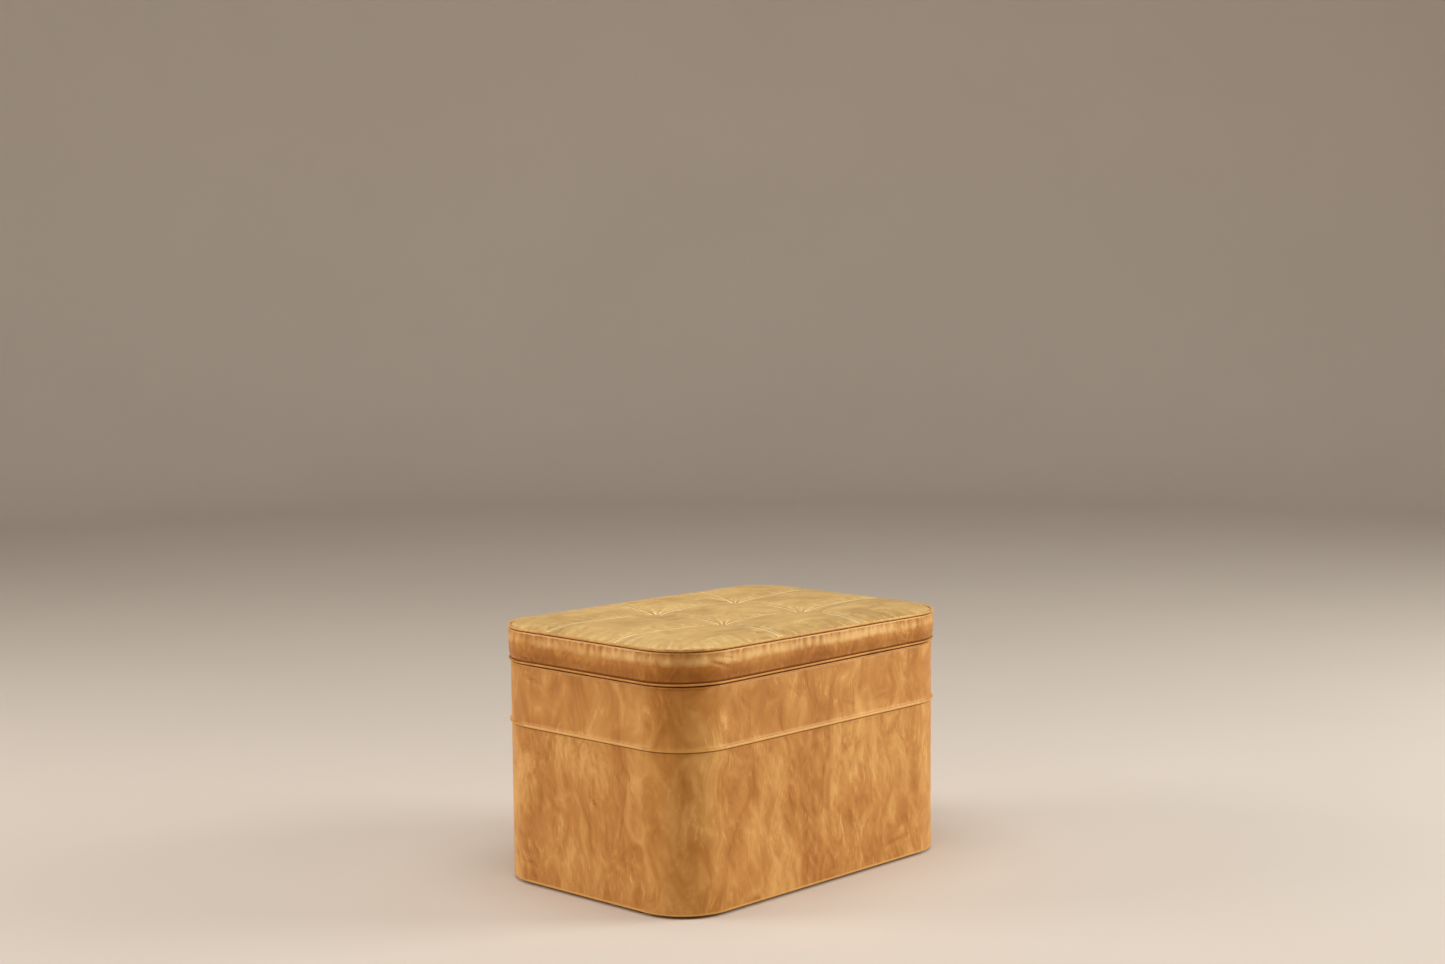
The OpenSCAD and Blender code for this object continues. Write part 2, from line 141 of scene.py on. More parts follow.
floor_finish, tree, shader = material("studio_floor", Roughness=0.85)
cloud = place(tree, "TexNoise", Vector=own_place(tree), Scale=1.5, Detail=3).outputs["Fac"]
wire(tree, shader, Base_Color=mixed(tree, cloud, tone(214, 202, 190), tone(220, 208, 196)))
floor_r, sweep_r, wall_top, sweep_steps = 5.0, 1.6, 4.6, 12
bm = bmesh.new()
bmesh.ops.create_circle(bm, cap_ends=True, radius=floor_r, segments=128)
ring = bm.edges[:]
for i in range(1, sweep_steps + 1):
    turned = math.pi / 2 * i / sweep_steps
    reach = floor_r + sweep_r * math.sin(turned)
    lift = sweep_r * (1 - math.cos(turned)) if i < sweep_steps else wall_top
    ring, verts = draw_out(bm, ring)
    for vert in verts:
        vert.co = (vert.co * Vector((1, 1, 0))).normalized() * reach + Vector((0, 0, lift))
floor = show(bm, "studio_floor", floor_finish)

world = bpy.data.worlds.new("studio")
world.use_nodes = True
world.node_tree.nodes["Background"].inputs["Color"].default_value = tone(228, 224, 216)
world.node_tree.nodes["Background"].inputs["Strength"].default_value = 0.3
bpy.context.scene.world = world
lamp_aim = Vector((0, 0, 0.25))


def lamp(name, at, size, watts, colour):
    data = bpy.data.lights.new(name, "AREA")
    data.size = size
    data.energy = watts
    data.color = colour
    obj = bpy.data.objects.new(name, data)
    bpy.context.scene.collection.objects.link(obj)
    aim = (lamp_aim - Vector(at)).to_track_quat("-Z", "Y")
    obj.matrix_world = Matrix.Translation(at) @ aim.to_matrix().to_4x4()


lamp("lamp_over", at=(-0.4, -0.3, 2.9), size=2.0, watts=46, colour=(1, 0.985, 0.95))
lamp("lamp_front", at=(2.8, -2.6, 1.7), size=1.7, watts=108, colour=(0.98, 1, 0.98))
lamp("lamp_left", at=(-2.7, 2.5, 1.6), size=1.7, watts=68, colour=(1, 0.97, 0.93))


# ---- Plywood box: panels, corners, bottom board and lid board ----
# Four flat 12 mm plywood panels with bent plywood corners between them, glued and pinned to a
# plywood bottom. A board of the same plywood carries the padding of the lid.


def effect(name, **inputs):
    """A node group that gives a colour, a roughness and a height, with inputs of those names and values."""
    group = bpy.data.node_groups.new(name, "ShaderNodeTree")
    for socket, value in inputs.items():
        kind = "Float" if isinstance(value, float) else {3: "Vector", 4: "Color"}[len(value)]
        named = socket.replace("_", " ")
        made = group.interface.new_socket(named, in_out="INPUT", socket_type="NodeSocket" + kind)
        made.default_value = value
    for socket, kind in (("Colour", "Color"), ("Roughness", "Float"), ("Height", "Float")):
        group.interface.new_socket(socket, in_out="OUTPUT", socket_type="NodeSocket" + kind)
    return group, group.nodes.new("NodeGroupInput").outputs, group.nodes.new("NodeGroupOutput").inputs


def give(tree, out, **results):
    """Links what an effect has worked out to its outputs."""
    for name, result in results.items():
        tree.links.new(result, out[name])


def maths(tree, operation, first, second=0.0, third=0.0):
    return place(tree, "Math", {"operation": operation}, {0: first, 1: second, 2: third}).outputs[0]


def spread(tree, value, low, high, to_low=0.0, to_high=1.0):
    """Stretches the values between low and high over another range, and clips what is outside."""
    return place(
        tree, "MapRange", Value=value, From_Min=low, From_Max=high, To_Min=to_low, To_Max=to_high
    ).outputs["Result"]


def spots(tree, vector, scale, detail=2.0, rough=0.5, twist=0.0):
    return place(
        tree, "TexNoise", Vector=vector, Scale=scale, Detail=detail, Roughness=rough, Distortion=twist
    ).outputs["Fac"]


def use(tree, shader, group, bump, **values):
    """Puts an effect into a material: its colour, roughness and height go to the shader."""
    node = tree.nodes.new("ShaderNodeGroup")
    node.node_tree = group
    wire(tree, node, **values)
    raised = place(tree, "Bump", Strength=1.0, Distance=bump, Height=node.outputs["Height"]).outputs["Normal"]
    colour, roughness = node.outputs["Colour"], node.outputs["Roughness"]
    wire(tree, shader, Base_Color=colour, Roughness=roughness, Normal=raised)


wood_figure, given, out = effect(
    "wood_figure", Place=(0, 0, 0), Early_Wood=tone(214, 182, 138), Late_Wood=tone(176, 134, 88),
    Ring_Scale=30.0, Waver=4.0,
)
tree = wood_figure
rings = place(
    tree, "TexWave", {"wave_type": "BANDS", "bands_direction": "Y"},
    Vector=given["Place"], Scale=given["Ring Scale"], Distortion=given["Waver"], Detail=3, Detail_Scale=0.6,
).outputs["Fac"]
pores = spots(tree, given["Place"], 900, 2)
figure = mixed(tree, spread(tree, rings, 0.2, 0.95), given["Early Wood"], given["Late Wood"])
give(
    tree, out, Colour=mixed(tree, spread(tree, pores, 0.62, 0.75, 0, 0.45), figure, tone(120, 84, 52)),
    Roughness=spread(tree, rings, 0, 1, 0.62, 0.5),
    Height=maths(tree, "SUBTRACT", maths(tree, "MULTIPLY", rings, 0.3), pores),
)


def wood_finish(name, stretch, turn=(0, 0, 0), **values):
    made, tree, shader = material(name, Specular_IOR_Level=0.35)
    laid = place(tree, "Mapping", Vector=own_place(tree), Rotation=turn, Scale=stretch).outputs["Vector"]
    use(tree, shader, wood_figure, 0.0002, Place=laid, **values)
    return made


def coat(finish, *names):
    """Gives CAD nodes a better finish."""
    for name in names:
        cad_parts[name].material_slots[0].material = finish


veneer = {
    "Early_Wood": tone(218, 190, 148), "Late_Wood": tone(190, 152, 106), "Ring_Scale": 9.0, "Waver": 6.0
}
coat(wood_finish("plywood_flat", (0.25, 1, 1), **veneer), "bottom_board", "lid_board")
coat(wood_finish("plywood_upright", (1, 1, 0.25), (0, math.pi / 2, 0), **veneer), "front_panel", "rear_panel")
ends = wood_finish("plywood_ends", (1, 1, 0.25), (math.pi / 2, 0, 0), **veneer)
coat(ends, "left_panel", "right_panel")
corners = [f"{end}_{side}" for end in ("front", "rear") for side in ("left", "right")]
coat(ends, *[f"corner_{corner}" for corner in corners])


# ---- Pine rails and corner blocks ----
# Pine rails are glued and screwed inside the top of each panel, with a curved block in every
# corner between them. They hold the screws of the hinges and of the lid stays.

pine = {"Early_Wood": tone(232, 202, 150), "Late_Wood": tone(196, 142, 84), "Ring_Scale": 42.0, "Waver": 2.2}
coat(wood_finish("pine_long", (0.12, 1, 1), **pine), "front_rail", "rear_rail")
coat(wood_finish("pine_end", (1, 0.12, 1), (0, 0, math.pi / 2), **pine), "left_rail", "right_rail")
coat(wood_finish("pine_block", (1, 1, 0.2), **pine), *[f"rail_block_{corner}" for corner in corners])


# ---- Wadding round the sides ----
# A 3 mm layer of white polyester wadding is glued round the outside of the plywood, so that
# the hide lies soft over the joints of the wood.

# All plans of this ottoman are the same rectangle, grown outwards with round corners: the
# rectangle runs between the ends of the flat panels, and a wall's reach is its distance from it.
core_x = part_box("front_panel")[1].x
core_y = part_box("left_panel")[1].y
box_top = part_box("rim_facing")[1].z


def reach_of(node):
    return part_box(node)[1].x - core_x


box_reach = reach_of("lower_side_cover")


def outward(co):
    """The nearest point of the rectangle, and the level direction from it to the given point."""
    core = Vector((max(-core_x, min(core_x, co.x)), max(-core_y, min(core_y, co.y)), 0))
    return core, (Vector((co.x, co.y, 0)) - core).normalized()


def plan_loop(bm, reach, z, pitch):
    """A closed loop of edges round the plan: a circle drawn apart, with its straights divided."""
    steps = max(3, round(reach * math.pi / 2 / pitch))
    half_step = Matrix.Rotation(math.pi / 4 / steps, 4, "Z")
    bmesh.ops.create_circle(bm, radius=reach, segments=4 * steps, matrix=half_step)
    for vert in bm.verts:
        vert.co += Vector((math.copysign(core_x, vert.co.x), math.copysign(core_y, vert.co.y), z))
    for edge in [edge for edge in bm.edges if edge.calc_length() > 2.5 * pitch]:
        bmesh.ops.subdivide_edges(bm, edges=[edge], cuts=round(edge.calc_length() / pitch) - 1)


def wall(profile, pitch, closed=False, towards="out"):
    """A wall round the plan, drawn out along a profile of (reach, height) points."""
    bm = bmesh.new()
    plan_loop(bm, profile[0][0], profile[0][1], pitch)
    first = ring = list(bm.edges)
    for reach, z in profile[1:]:
        ring, verts = draw_out(bm, ring)
        for vert in verts:
            core, out = outward(vert.co)
            vert.co = core + out * reach + Vector((0, 0, z))
    if closed:
        bmesh.ops.bridge_loops(bm, edges=first + ring)
    bm.normal_update()
    side = sum(
        (face.normal.z if towards == "up" else face.normal.dot(outward(face.calc_center_median())[1]))
        * face.calc_area()
        for face in bm.faces
    )
    if closed:
        bmesh.ops.recalc_face_normals(bm, faces=bm.faces)
    elif (side < 0) != (towards == "in"):
        bmesh.ops.reverse_faces(bm, faces=bm.faces)
    bm.normal_update()
    return bm


def climb(reach, low, high, step):
    """Evenly spaced points of a profile, straight up at one reach."""
    count = max(1, round((high - low) / step))
    return [(reach, low + (high - low) * i / count) for i in range(count + 1)]


def push(bm, by):
    """Moves every point of a wall outwards by what by says for it."""
    for vert in bm.verts:
        vert.co += outward(vert.co)[1] * by(vert.co)


def ripple(co, across, up=0.0, seed=0.0):
    """Smooth noise from -1 to 1, with so many waves in a metre across the plan and upwards."""
    return noise.noise(Vector((co.x * across, co.y * across, co.z * up + seed)))


def thicken(obj, thickness, offset=-1):
    solid = obj.modifiers.new("thickness", "SOLIDIFY")
    solid.thickness = thickness
    solid.offset = offset


fleece, given, out = effect(
    "fleece", Fibre=tone(240, 240, 236), Shadow=tone(206, 206, 200), Tuft_Scale=300.0
)
tree = fleece
strands = spots(tree, own_place(tree), given["Tuft Scale"], 6, 0.7, 2.0)
give(
    tree, out, Colour=mixed(tree, spread(tree, strands, 0.35, 0.6), given["Shadow"], given["Fibre"]),
    Roughness=spread(tree, strands, 0, 1, 0.98, 0.85), Height=strands,
)

wadding_finish, tree, shader = material("wadding", Sheen_Weight=0.3, Sheen_Roughness=0.6)
use(tree, shader, fleece, 0.0015)

wadding_t = 2.2 * MM  # the 3 mm layer, pressed under the hide
wadding_pitch = 9 * MM
wadding_low, wadding_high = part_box("side_wadding")
wadding_reach = reach_of("side_wadding") - 0.2 * MM
bm = wall(climb(wadding_reach, wadding_low.z, wadding_high.z - MM, wadding_pitch), wadding_pitch)
push(bm, lambda co: 0.25 * MM * (ripple(co, 60, 60) - 1))
side_wadding = show(bm, "side_wadding_layer", wadding_finish)
thicken(side_wadding, wadding_t)
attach(side_wadding, "box")
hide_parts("side_wadding")


# ---- Lower side cover ----
# One strip of waxed camel hide, 1.2 mm thick, runs round the box, is turned under the bottom and stapled
# there. The wax gives it cloudy patches, which show lighter where it is pulled; on its ridges this lighter
# colour is also a painted highlight, and its folds are darkened with painted shade.

hide_figure, given, out = effect(
    "hide_figure", Light=tone(232, 176, 104), Middle=tone(205, 141, 72), Dark=tone(176, 110, 46),
    Ridge=tone(242, 188, 106), Fold=tone(118, 58, 8), Cloud_Scale=10.0, Smear_Scale=24.0,
    Stroke_Scale=130.0, Contrast=1.0, Lean=(0, 0, 0), Draw=(1, 1, 0.5),
)
tree = hide_figure
where = own_place(tree)
sway = place(tree, "TexNoise", Vector=where, Scale=11, Detail=1).outputs["Color"]
swung = place(tree, "VectorMath", {"operation": "SUBTRACT"}, {0: sway, 1: (0.5, 0.5, 0.5)}).outputs[0]
bent = place(
    tree, "VectorMath", {"operation": "MULTIPLY_ADD"}, {0: swung, 1: (0.04, 0.04, 0.04), 2: where}
).outputs[0]
drawn = place(tree, "Mapping", Vector=bent, Rotation=given["Lean"], Scale=given["Draw"]).outputs["Vector"]
nap = place(tree, "Mapping", Vector=drawn, Scale=(1, 1, 0.5)).outputs["Vector"]
clouds = spots(tree, drawn, given["Cloud Scale"], 2, 0.5, 0.6)
smears = spots(tree, drawn, given["Smear Scale"], 2, 0.55, 1.6)
strokes = spread(tree, spots(tree, nap, given["Stroke Scale"], 2, 0.5, 1.0), 0.54, 0.72)
brushed = spread(tree, spots(tree, where, 13, 2), 0.42, 0.6)
scuffs = maths(tree, "MULTIPLY", strokes, brushed)
flecks = spots(tree, where, 700, 2, 0.6)
swing = 0.0
for pattern, weight in ((clouds, 0.5), (smears, 0.5), (flecks, 0.1)):
    swing = maths(tree, "MULTIPLY_ADD", maths(tree, "SUBTRACT", pattern, 0.5), weight, swing)
swing = maths(tree, "MULTIPLY", swing, given["Contrast"])
swing = maths(tree, "MULTIPLY_ADD", scuffs, 0.2, swing)
colour = mixed(tree, spread(tree, swing, 0.0, 0.24), given["Middle"], given["Light"])
colour = mixed(tree, spread(tree, swing, 0.0, -0.24), colour, given["Dark"])
# The ridge colour lightens the hide where it stands proud or is sewn: partly the real pull-up of waxed hide
# where it is stretched, partly a painted highlight. The fold colour darkens folds, and all hide marked -1,
# with painted shade.
crease_and_shading = place(tree, "Attribute", {"attribute_name": "crease_and_shading"}).outputs["Fac"]
sewn = place(tree, "Attribute", {"attribute_name": "seam"}).outputs["Fac"]
proud = maths(tree, "MAXIMUM", spread(tree, crease_and_shading, 0.04, 0.5, 0, 0.85), spread(tree, sewn, 0.3, 0.85))
colour = mixed(tree, proud, colour, given["Ridge"])
colour = mixed(tree, spread(tree, crease_and_shading, -0.04, -0.6, 0, 0.8), colour, given["Fold"])
pebbles = place(tree, "TexVoronoi", {"feature": "SMOOTH_F1"}, Vector=where, Scale=850, Smoothness=0.4)
height = 0.0
for pattern, weight in ((pebbles.outputs["Distance"], 0.3), (flecks, 0.2), (scuffs, 0.5), (smears, 2.4)):
    height = maths(tree, "MULTIPLY_ADD", pattern, weight, height)
give(tree, out, Colour=colour, Roughness=spread(tree, swing, -0.2, 0.2, 0.38, 0.54), Height=height)


def hide_finish(name, bump=0.0006, **values):
    made, tree, shader = material(
        name, Specular_IOR_Level=0.42, Specular_Tint=tone(255, 222, 160), Sheen_Weight=0.03,
        Sheen_Roughness=0.5, Sheen_Tint=tone(250, 214, 160), Coat_Weight=0.05, Coat_Roughness=0.3,
    )
    use(tree, shader, hide_figure, bump, **values)
    return made


def clip(value, low=0, high=1):
    return max(low, min(high, value))


def hump(value, middle, width):
    """A smooth bump of height 1 round a middle value."""
    return math.exp(-(((value - middle) / width) ** 2))


def mark_creases(bm, gain, bend=0.0):
    """Keeps how proud each point stands of its neighbours: above 0 on a ridge, below 0 in a fold.
    bend is the mesh's pitch round the corners, whose own roundness is no ridge."""
    bm.normal_update()
    # Above 0 the hide is coloured lighter (real pull-up and a painted highlight), below 0 darker with painted
    # shade.
    layer = bm.verts.layers.float.new("crease_and_shading")
    for vert in bm.verts:
        if vert.is_boundary:
            continue
        arms = [(edge.other_vert(vert).co - vert.co).normalized() for edge in vert.link_edges]
        proud = -sum(arms, Vector()).dot(vert.normal) / len(arms)
        if bend and abs(vert.co.x) > core_x and abs(vert.co.y) > core_y:
            proud = 0.5 * (proud - bend / (4 * box_reach))
        vert[layer] = clip(gain * proud, -1)


def mark_level(bm, low, high, value):
    """Marks all the hide between two heights alike: -1 for a fold, 0 for flat hide."""
    # -1 darkens the hide with painted shade, as in a fold; 0 takes off both the ridge lightening and the
    # painted shade.
    layer = bm.verts.layers.float["crease_and_shading"]
    for vert in bm.verts:
        if low < vert.co.z < high:
            vert[layer] = value


def rumple(co):
    """The gentle lie of hide over wadding: broad hollows with finer drawn creases in them."""
    hollow_depth, drag_depth, lean = 0.4 * MM, 0.36 * MM, co.z * 0.35
    drag = noise.fractal(Vector(((co.x + lean) * 62, (co.y - lean) * 62, co.z * 24)), 0.8, 2.0, 2)
    return hollow_depth * ripple(co, 14, 9) + drag_depth * drag


def pinched(co, creases):
    """How far creases press the hide in at a point. Each one goes from start to end and is deepest in
    its middle. They are given in millimetres: start, end, depth and width."""
    total = 0
    for start, end, depth, width in creases:
        begin, along = Vector(start) * MM, (Vector(end) - Vector(start)) * MM
        share = clip((co - begin).dot(along) / along.length_squared)
        gap = (co - begin - along * share).length
        total += depth * MM * math.sin(math.pi * (0.08 + 0.84 * share)) * hump(gap, 0, width * MM)
    return total


def arc(centre, radius, start, end, steps):
    """Points of a profile on an arc, past its start. Angles in degrees: 0 points outwards, 90 up."""
    angles = [math.radians(start + (end - start) * i / steps) for i in range(1, steps + 1)]
    return [(centre[0] + radius * math.cos(a), centre[1] + radius * math.sin(a)) for a in angles]


side_hide = hide_finish("camel_hide_sides", Lean=(0.25, -0.2, 0), Contrast=1.4)
hide_t = 1.1 * MM  # a hair under the real 1.2 mm, so that no layers touch
hide_pitch = 4 * MM
turn_r = 3 * MM
hidden_lap = 0.25 * MM
skirt_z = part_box("lower_side_cover")[0].z
lower_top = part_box("lower_side_cover")[1].z
seam_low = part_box("upper_side_cover")[0].z
profile = [(box_reach - inset, skirt_z) for inset in (30 * MM, 16 * MM, turn_r)]
profile += arc((box_reach - turn_r, skirt_z + turn_r), turn_r, -90, 0, 4)
profile += climb(box_reach, skirt_z + turn_r + 2 * MM, seam_low - 2.2 * MM, 3.8 * MM)
profile += [(box_reach, seam_low - MM), (box_reach - hidden_lap, lower_top)]
bm = wall(profile, hide_pitch)
low_creases = [
    ((-290, 160, 40), (-290, 100, 34), 0.6, 4.5),
    ((-290, -12, 150), (-290, -30, 136), 0.4, 4),
    ((120, -198, 30), (190, -198, 40), 0.4, 5),
    ((290, 60, 205), (290, 110, 190), 0.4, 5),
]


def lie_of_lower_cover(co):
    free = clip((co.z - skirt_z) / (12 * MM)) * min(1, (lower_top - co.z) / (8 * MM))
    return free * rumple(co) - pinched(co, low_creases) - 0.1 * MM


push(bm, lie_of_lower_cover)
mark_creases(bm, 11, hide_pitch)
# Painted shade: the lower cover just under the lap is marked -1, dark as the shadow under the hem.
mark_level(bm, seam_low - 1.5 * MM, seam_low + 5 * MM, -1)
lower_cover = show(bm, "lower_cover", side_hide)
thicken(lower_cover, hide_t)
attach(lower_cover, "box")
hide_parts("lower_side_cover")


# ---- Upper side cover ----
# A narrower strip of the same hide covers the top of the box. Its lower edge is folded back
# under itself and lapped over the lower strip, which makes the raised band round the sides.

pared_t = 0.9 * MM  # pared thinner, so that its folds lie flat
hem_top = seam_low + 4.5 * MM
hem_reach = reach_of("upper_side_cover")
cover_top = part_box("upper_side_cover")[1].z
# Points of the hem in mm, outwards and upwards from its lower edge: those of its underside are
# counted from the face of the cover, and those of its face from its own outermost line.
hem_under = [(0.3, 0.9), (0.4, 0.25), (1.1, 0)]
hem_face = [(-0.5, 0.15), (-0.1, 0.7), (0, 1.6), (-0.2, 2.7), (-0.8, 3.7), (-1.7, 4.8)]
profile = [(box_reach + out * MM, seam_low + up * MM) for out, up in hem_under]
profile += [(hem_reach + out * MM, seam_low + up * MM) for out, up in hem_face]
profile += [(box_reach + 0.25 * MM, hem_top + 1.7 * MM)]
profile += climb(box_reach, hem_top + 3.6 * MM, cover_top - 6 * MM, 3.6 * MM)
profile += [(box_reach - 0.05 * MM, cover_top - 3 * MM), (box_reach - 0.3 * MM, cover_top - 0.2 * MM)]
bm = wall(profile, hide_pitch)
upper_creases = [
    ((-290, 140, 308), (-290, 80, 296), 0.7, 4),
    ((-190, -198, 306), (-150, -198, 270), 0.5, 4),
    ((30, -198, 262), (75, -198, 248), 0.5, 4),
    ((290, -20, 300), (290, 50, 286), 0.6, 4),
    ((80, 198, 280), (20, 198, 262), 0.6, 4),
]
hinge_leaves = [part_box(f"hinge_{side}_base_leaf") for side in ("left", "right")]
hinge_room = 0.4 * MM
barrel_depth = 5 * MM
barrel_front = hinge_leaves[0][1].y - barrel_depth
pleat_height = 0.12 * MM
hem_waver = 0.16 * MM
hinge_press = 1.6 * MM


def level_with_leaf(x):
    """True where a hinge leaf is at that distance along the rear."""
    return any(low.x - hinge_room < x < high.x + hinge_room for low, high in hinge_leaves)


def lie_of_upper_cover(co):
    below_top = cover_top - co.z
    free = clip((co.z - hem_top) / (10 * MM)) * clip(below_top / (8 * MM))
    lie = free * rumple(co) + pleat_height * ripple(co, 120, 12) * math.exp(-below_top / (9 * MM))
    lie += hem_waver * ripple(co, 45, seed=7) - pinched(co, upper_creases)
    if co.y > barrel_front - 2 * hinge_room and level_with_leaf(co.x) and below_top < 1.5 * MM:
        lie -= hinge_press
    return lie


push(bm, lie_of_upper_cover)
mark_creases(bm, 5, hide_pitch)
mark_level(bm, hem_top, hem_top + 4 * MM, 0)
mark_level(bm, cover_top - 5 * MM, cover_top, 0)
upper_cover = show(bm, "upper_cover", side_hide)
thicken(upper_cover, pared_t)
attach(upper_cover, "box")
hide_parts("upper_side_cover")


# ---- Topstitching of the lapped seam ----
# A row of tan polyester stitches, one every 4.5 mm, runs round the box through the fold of
# the upper cover and holds the lap down on the lower cover.

thread_finish, tree, shader = material("tan_thread", Specular_IOR_Level=0.3)
twist = place(tree, "TexWave", Vector=own_place(tree), Scale=700, Distortion=2).outputs["Fac"]
wire(
    tree, shader, Base_Color=mixed(tree, twist, tone(150, 98, 40), tone(226, 170, 92)),
    Roughness=spread(tree, twist, 0, 1, 0.75, 0.55),
    Normal=place(tree, "Bump", Strength=1.0, Distance=0.0001, Height=twist).outputs["Normal"],
)

stitch_pitch = 4.5 * MM
stitch_half = Vector((1.65, 0.42, 0.42)) * MM
course = bmesh.new()
plan_loop(course, hem_reach - 0.75 * MM, seam_low + 3.75 * MM, stitch_pitch)
bm = bmesh.new()
upwards = Vector((0, 0, 1))
for vert in course.verts:
    across = outward(vert.co)[1]
    lie = Matrix((across.cross(upwards), across, upwards)).transposed()
    bmesh.ops.create_uvsphere(
        bm, u_segments=6, v_segments=4, radius=1,
        matrix=Matrix.LocRotScale(vert.co, lie, stitch_half) @ Matrix.Rotation(math.pi / 2, 4, "Y"),
    )
course.free()
bmesh.ops.recalc_face_normals(bm, faces=bm.faces)
stitches = show(bm, "lap_stitches", thread_finish)
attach(stitches, "box")
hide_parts("side_topstitching")


# ---- Facing of the rim ----
# A strip of hide lies over the top edge of the plywood and the rails and hangs down inside
# them. It is cut away round the hinge leaves, and the screws of the lid stays go through it.

rim_hide = hide_finish(
    "camel_hide_rim", Light=tone(228, 166, 88), Middle=tone(208, 142, 68), Dark=tone(176, 108, 44)
)
facing_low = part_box("rim_facing")[0].z
facing_reach = reach_of("rim_facing")
skirt_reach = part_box("right_rail")[0].x - core_x - MM
lip_r = 1.2 * MM
fold_r = 1.6 * MM
flat_from, flat_to = skirt_reach + fold_r, facing_reach - lip_r
profile = climb(skirt_reach, facing_low, box_top - fold_r, 5 * MM)
profile += arc((flat_from, box_top - fold_r), fold_r, 180, 90, 3)
profile += [(flat_from + (flat_to - flat_from) * i / 6, box_top) for i in range(1, 7)]
profile += arc((flat_to, box_top - lip_r), lip_r, 90, 0, 3)
profile += [(facing_reach + 0.05 * MM, box_top - 1.9 * MM)]
bm = wall(profile, 5 * MM, towards="up")


def cut_for_leaves(bm, depth, low, high):
    """Cuts the hide away where the leaves of the two hinges are let in."""
    front = barrel_front - depth - hinge_room
    planes = [((x, 0, 0), (1, 0, 0)) for a, b in hinge_leaves for x in (a.x - hinge_room, b.x + hinge_room)]
    for spot, direction in planes + [((0, front, 0), (0, 1, 0))]:
        everything = bm.verts[:] + bm.edges[:] + bm.faces[:]
        bmesh.ops.bisect_plane(bm, geom=everything, plane_co=spot, plane_no=direction)
    middles = {face: face.calc_center_median() for face in bm.faces}
    gone = [
        face for face, middle in middles.items()
        if middle.y > front and low < middle.z < high and level_with_leaf(middle.x)
    ]
    bmesh.ops.delete(bm, geom=gone, context="FACES")


leaf_depth = 29 * MM
cut_for_leaves(bm, leaf_depth, box_top - 2 * MM, box_top + MM)
mark_creases(bm, 2)
rim_cover = show(bm, "rim_cover", rim_hide)
thicken(rim_cover, pared_t)
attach(rim_cover, "box")
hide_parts("rim_facing")


# ---- Linings inside the box ----
# Black cotton cloth is glued to the inside of the plywood walls in one strip, joined at the
# back, and another piece covers the floor of the well.

cloth_weave, given, out = effect(
    "cloth_weave", Place=(0, 0, 0), Warp=tone(52, 51, 54), Weft=tone(36, 36, 40), Threads=1400.0
)
tree = cloth_weave
parts = place(tree, "SeparateXYZ", Vector=given["Place"]).outputs
turns = maths(tree, "MULTIPLY", given["Threads"], math.pi)
warp_wave = maths(tree, "SINE", maths(tree, "MULTIPLY", parts["X"], turns))
weft_wave = maths(tree, "SINE", maths(tree, "MULTIPLY", parts["Y"], turns))
over = maths(tree, "GREATER_THAN", maths(tree, "MULTIPLY", warp_wave, weft_wave), 0.0)
thread = place(
    tree, "Mix", {"data_type": "FLOAT"},
    {0: over, 2: maths(tree, "ABSOLUTE", weft_wave), 3: maths(tree, "ABSOLUTE", warp_wave)},
).outputs[0]
slub = spots(tree, given["Place"], 240, 3)
dyed = mixed(tree, over, given["Weft"], given["Warp"])
dyed = mixed(tree, spread(tree, slub, 0.4, 0.7, 0, 0.35), dyed, given["Warp"])
give(
    tree, out, Colour=mixed(tree, spread(tree, thread, 0.4, 0.0, 0, 0.6), dyed, tone(14, 14, 16)),
    Roughness=spread(tree, slub, 0.3, 0.7, 0.92, 0.8), Height=thread,
)


def cloth_finish(name, **values):
    made, tree, shader = material(name, Sheen_Weight=0.25, Sheen_Roughness=0.5)
    flat_cloth = place(tree, "UVMap", {"uv_map": "cloth"}).outputs["UV"]
    use(tree, shader, cloth_weave, 0.0003, Place=flat_cloth, **values)
    return made


def along(co):
    """How far round the box a point is, from the middle of the front."""
    x, y = abs(co.x), abs(co.y)
    quarter = core_x + core_y + box_reach * math.pi / 2
    if x <= core_x:
        part = x
    elif y <= core_y:
        part = quarter - y
    else:
        part = core_x + box_reach * math.atan2(x - core_x, y - core_y)
    if co.y < 0:
        return part if co.x >= 0 else 4 * quarter - part
    return 2 * quarter - part if co.x >= 0 else 2 * quarter + part


def lay_out(bm, upright):
    """A UV map in metres: round the box and up a wall, or across a level sheet."""
    layer = bm.loops.layers.uv.new("cloth")
    whole = 4 * (core_x + core_y + box_reach * math.pi / 2)
    for face in bm.faces:
        middle = along(face.calc_center_median())
        for loop in face.loops:
            co = loop.vert.co
            if upright:
                round_it = along(co)
                round_it -= whole * round((round_it - middle) / whole)
                loop[layer].uv = (round_it, co.z)
            else:
                loop[layer].uv = (co.x, co.y)


def round_corners(x, y, reach, z):
    """Moves a point of the square-cornered plan to its place in the round-cornered one."""
    p = max(0, (abs(x) - core_x) / reach)
    q = max(0, (abs(y) - core_y) / reach)
    if p > 0 and q > 0:
        x = math.copysign(core_x + reach * p * math.sqrt(1 - q * q / 2), x)
        y = math.copysign(core_y + reach * q * math.sqrt(1 - p * p / 2), y)
    return Vector((x, y, z))


def level_sheet(reach, z, pitch):
    """A level sheet of the plan: a grid, its square corners drawn in to quarter circles."""
    half = Vector((core_x + reach, core_y + reach))
    columns, rows = round(2 * half.x / pitch), round(2 * half.y / pitch)
    bm = bmesh.new()
    bmesh.ops.create_grid(bm, x_segments=columns, y_segments=rows, size=1)
    for vert in bm.verts:
        vert.co = round_corners(vert.co.x * half.x, vert.co.y * half.y, reach, z)
    return bm


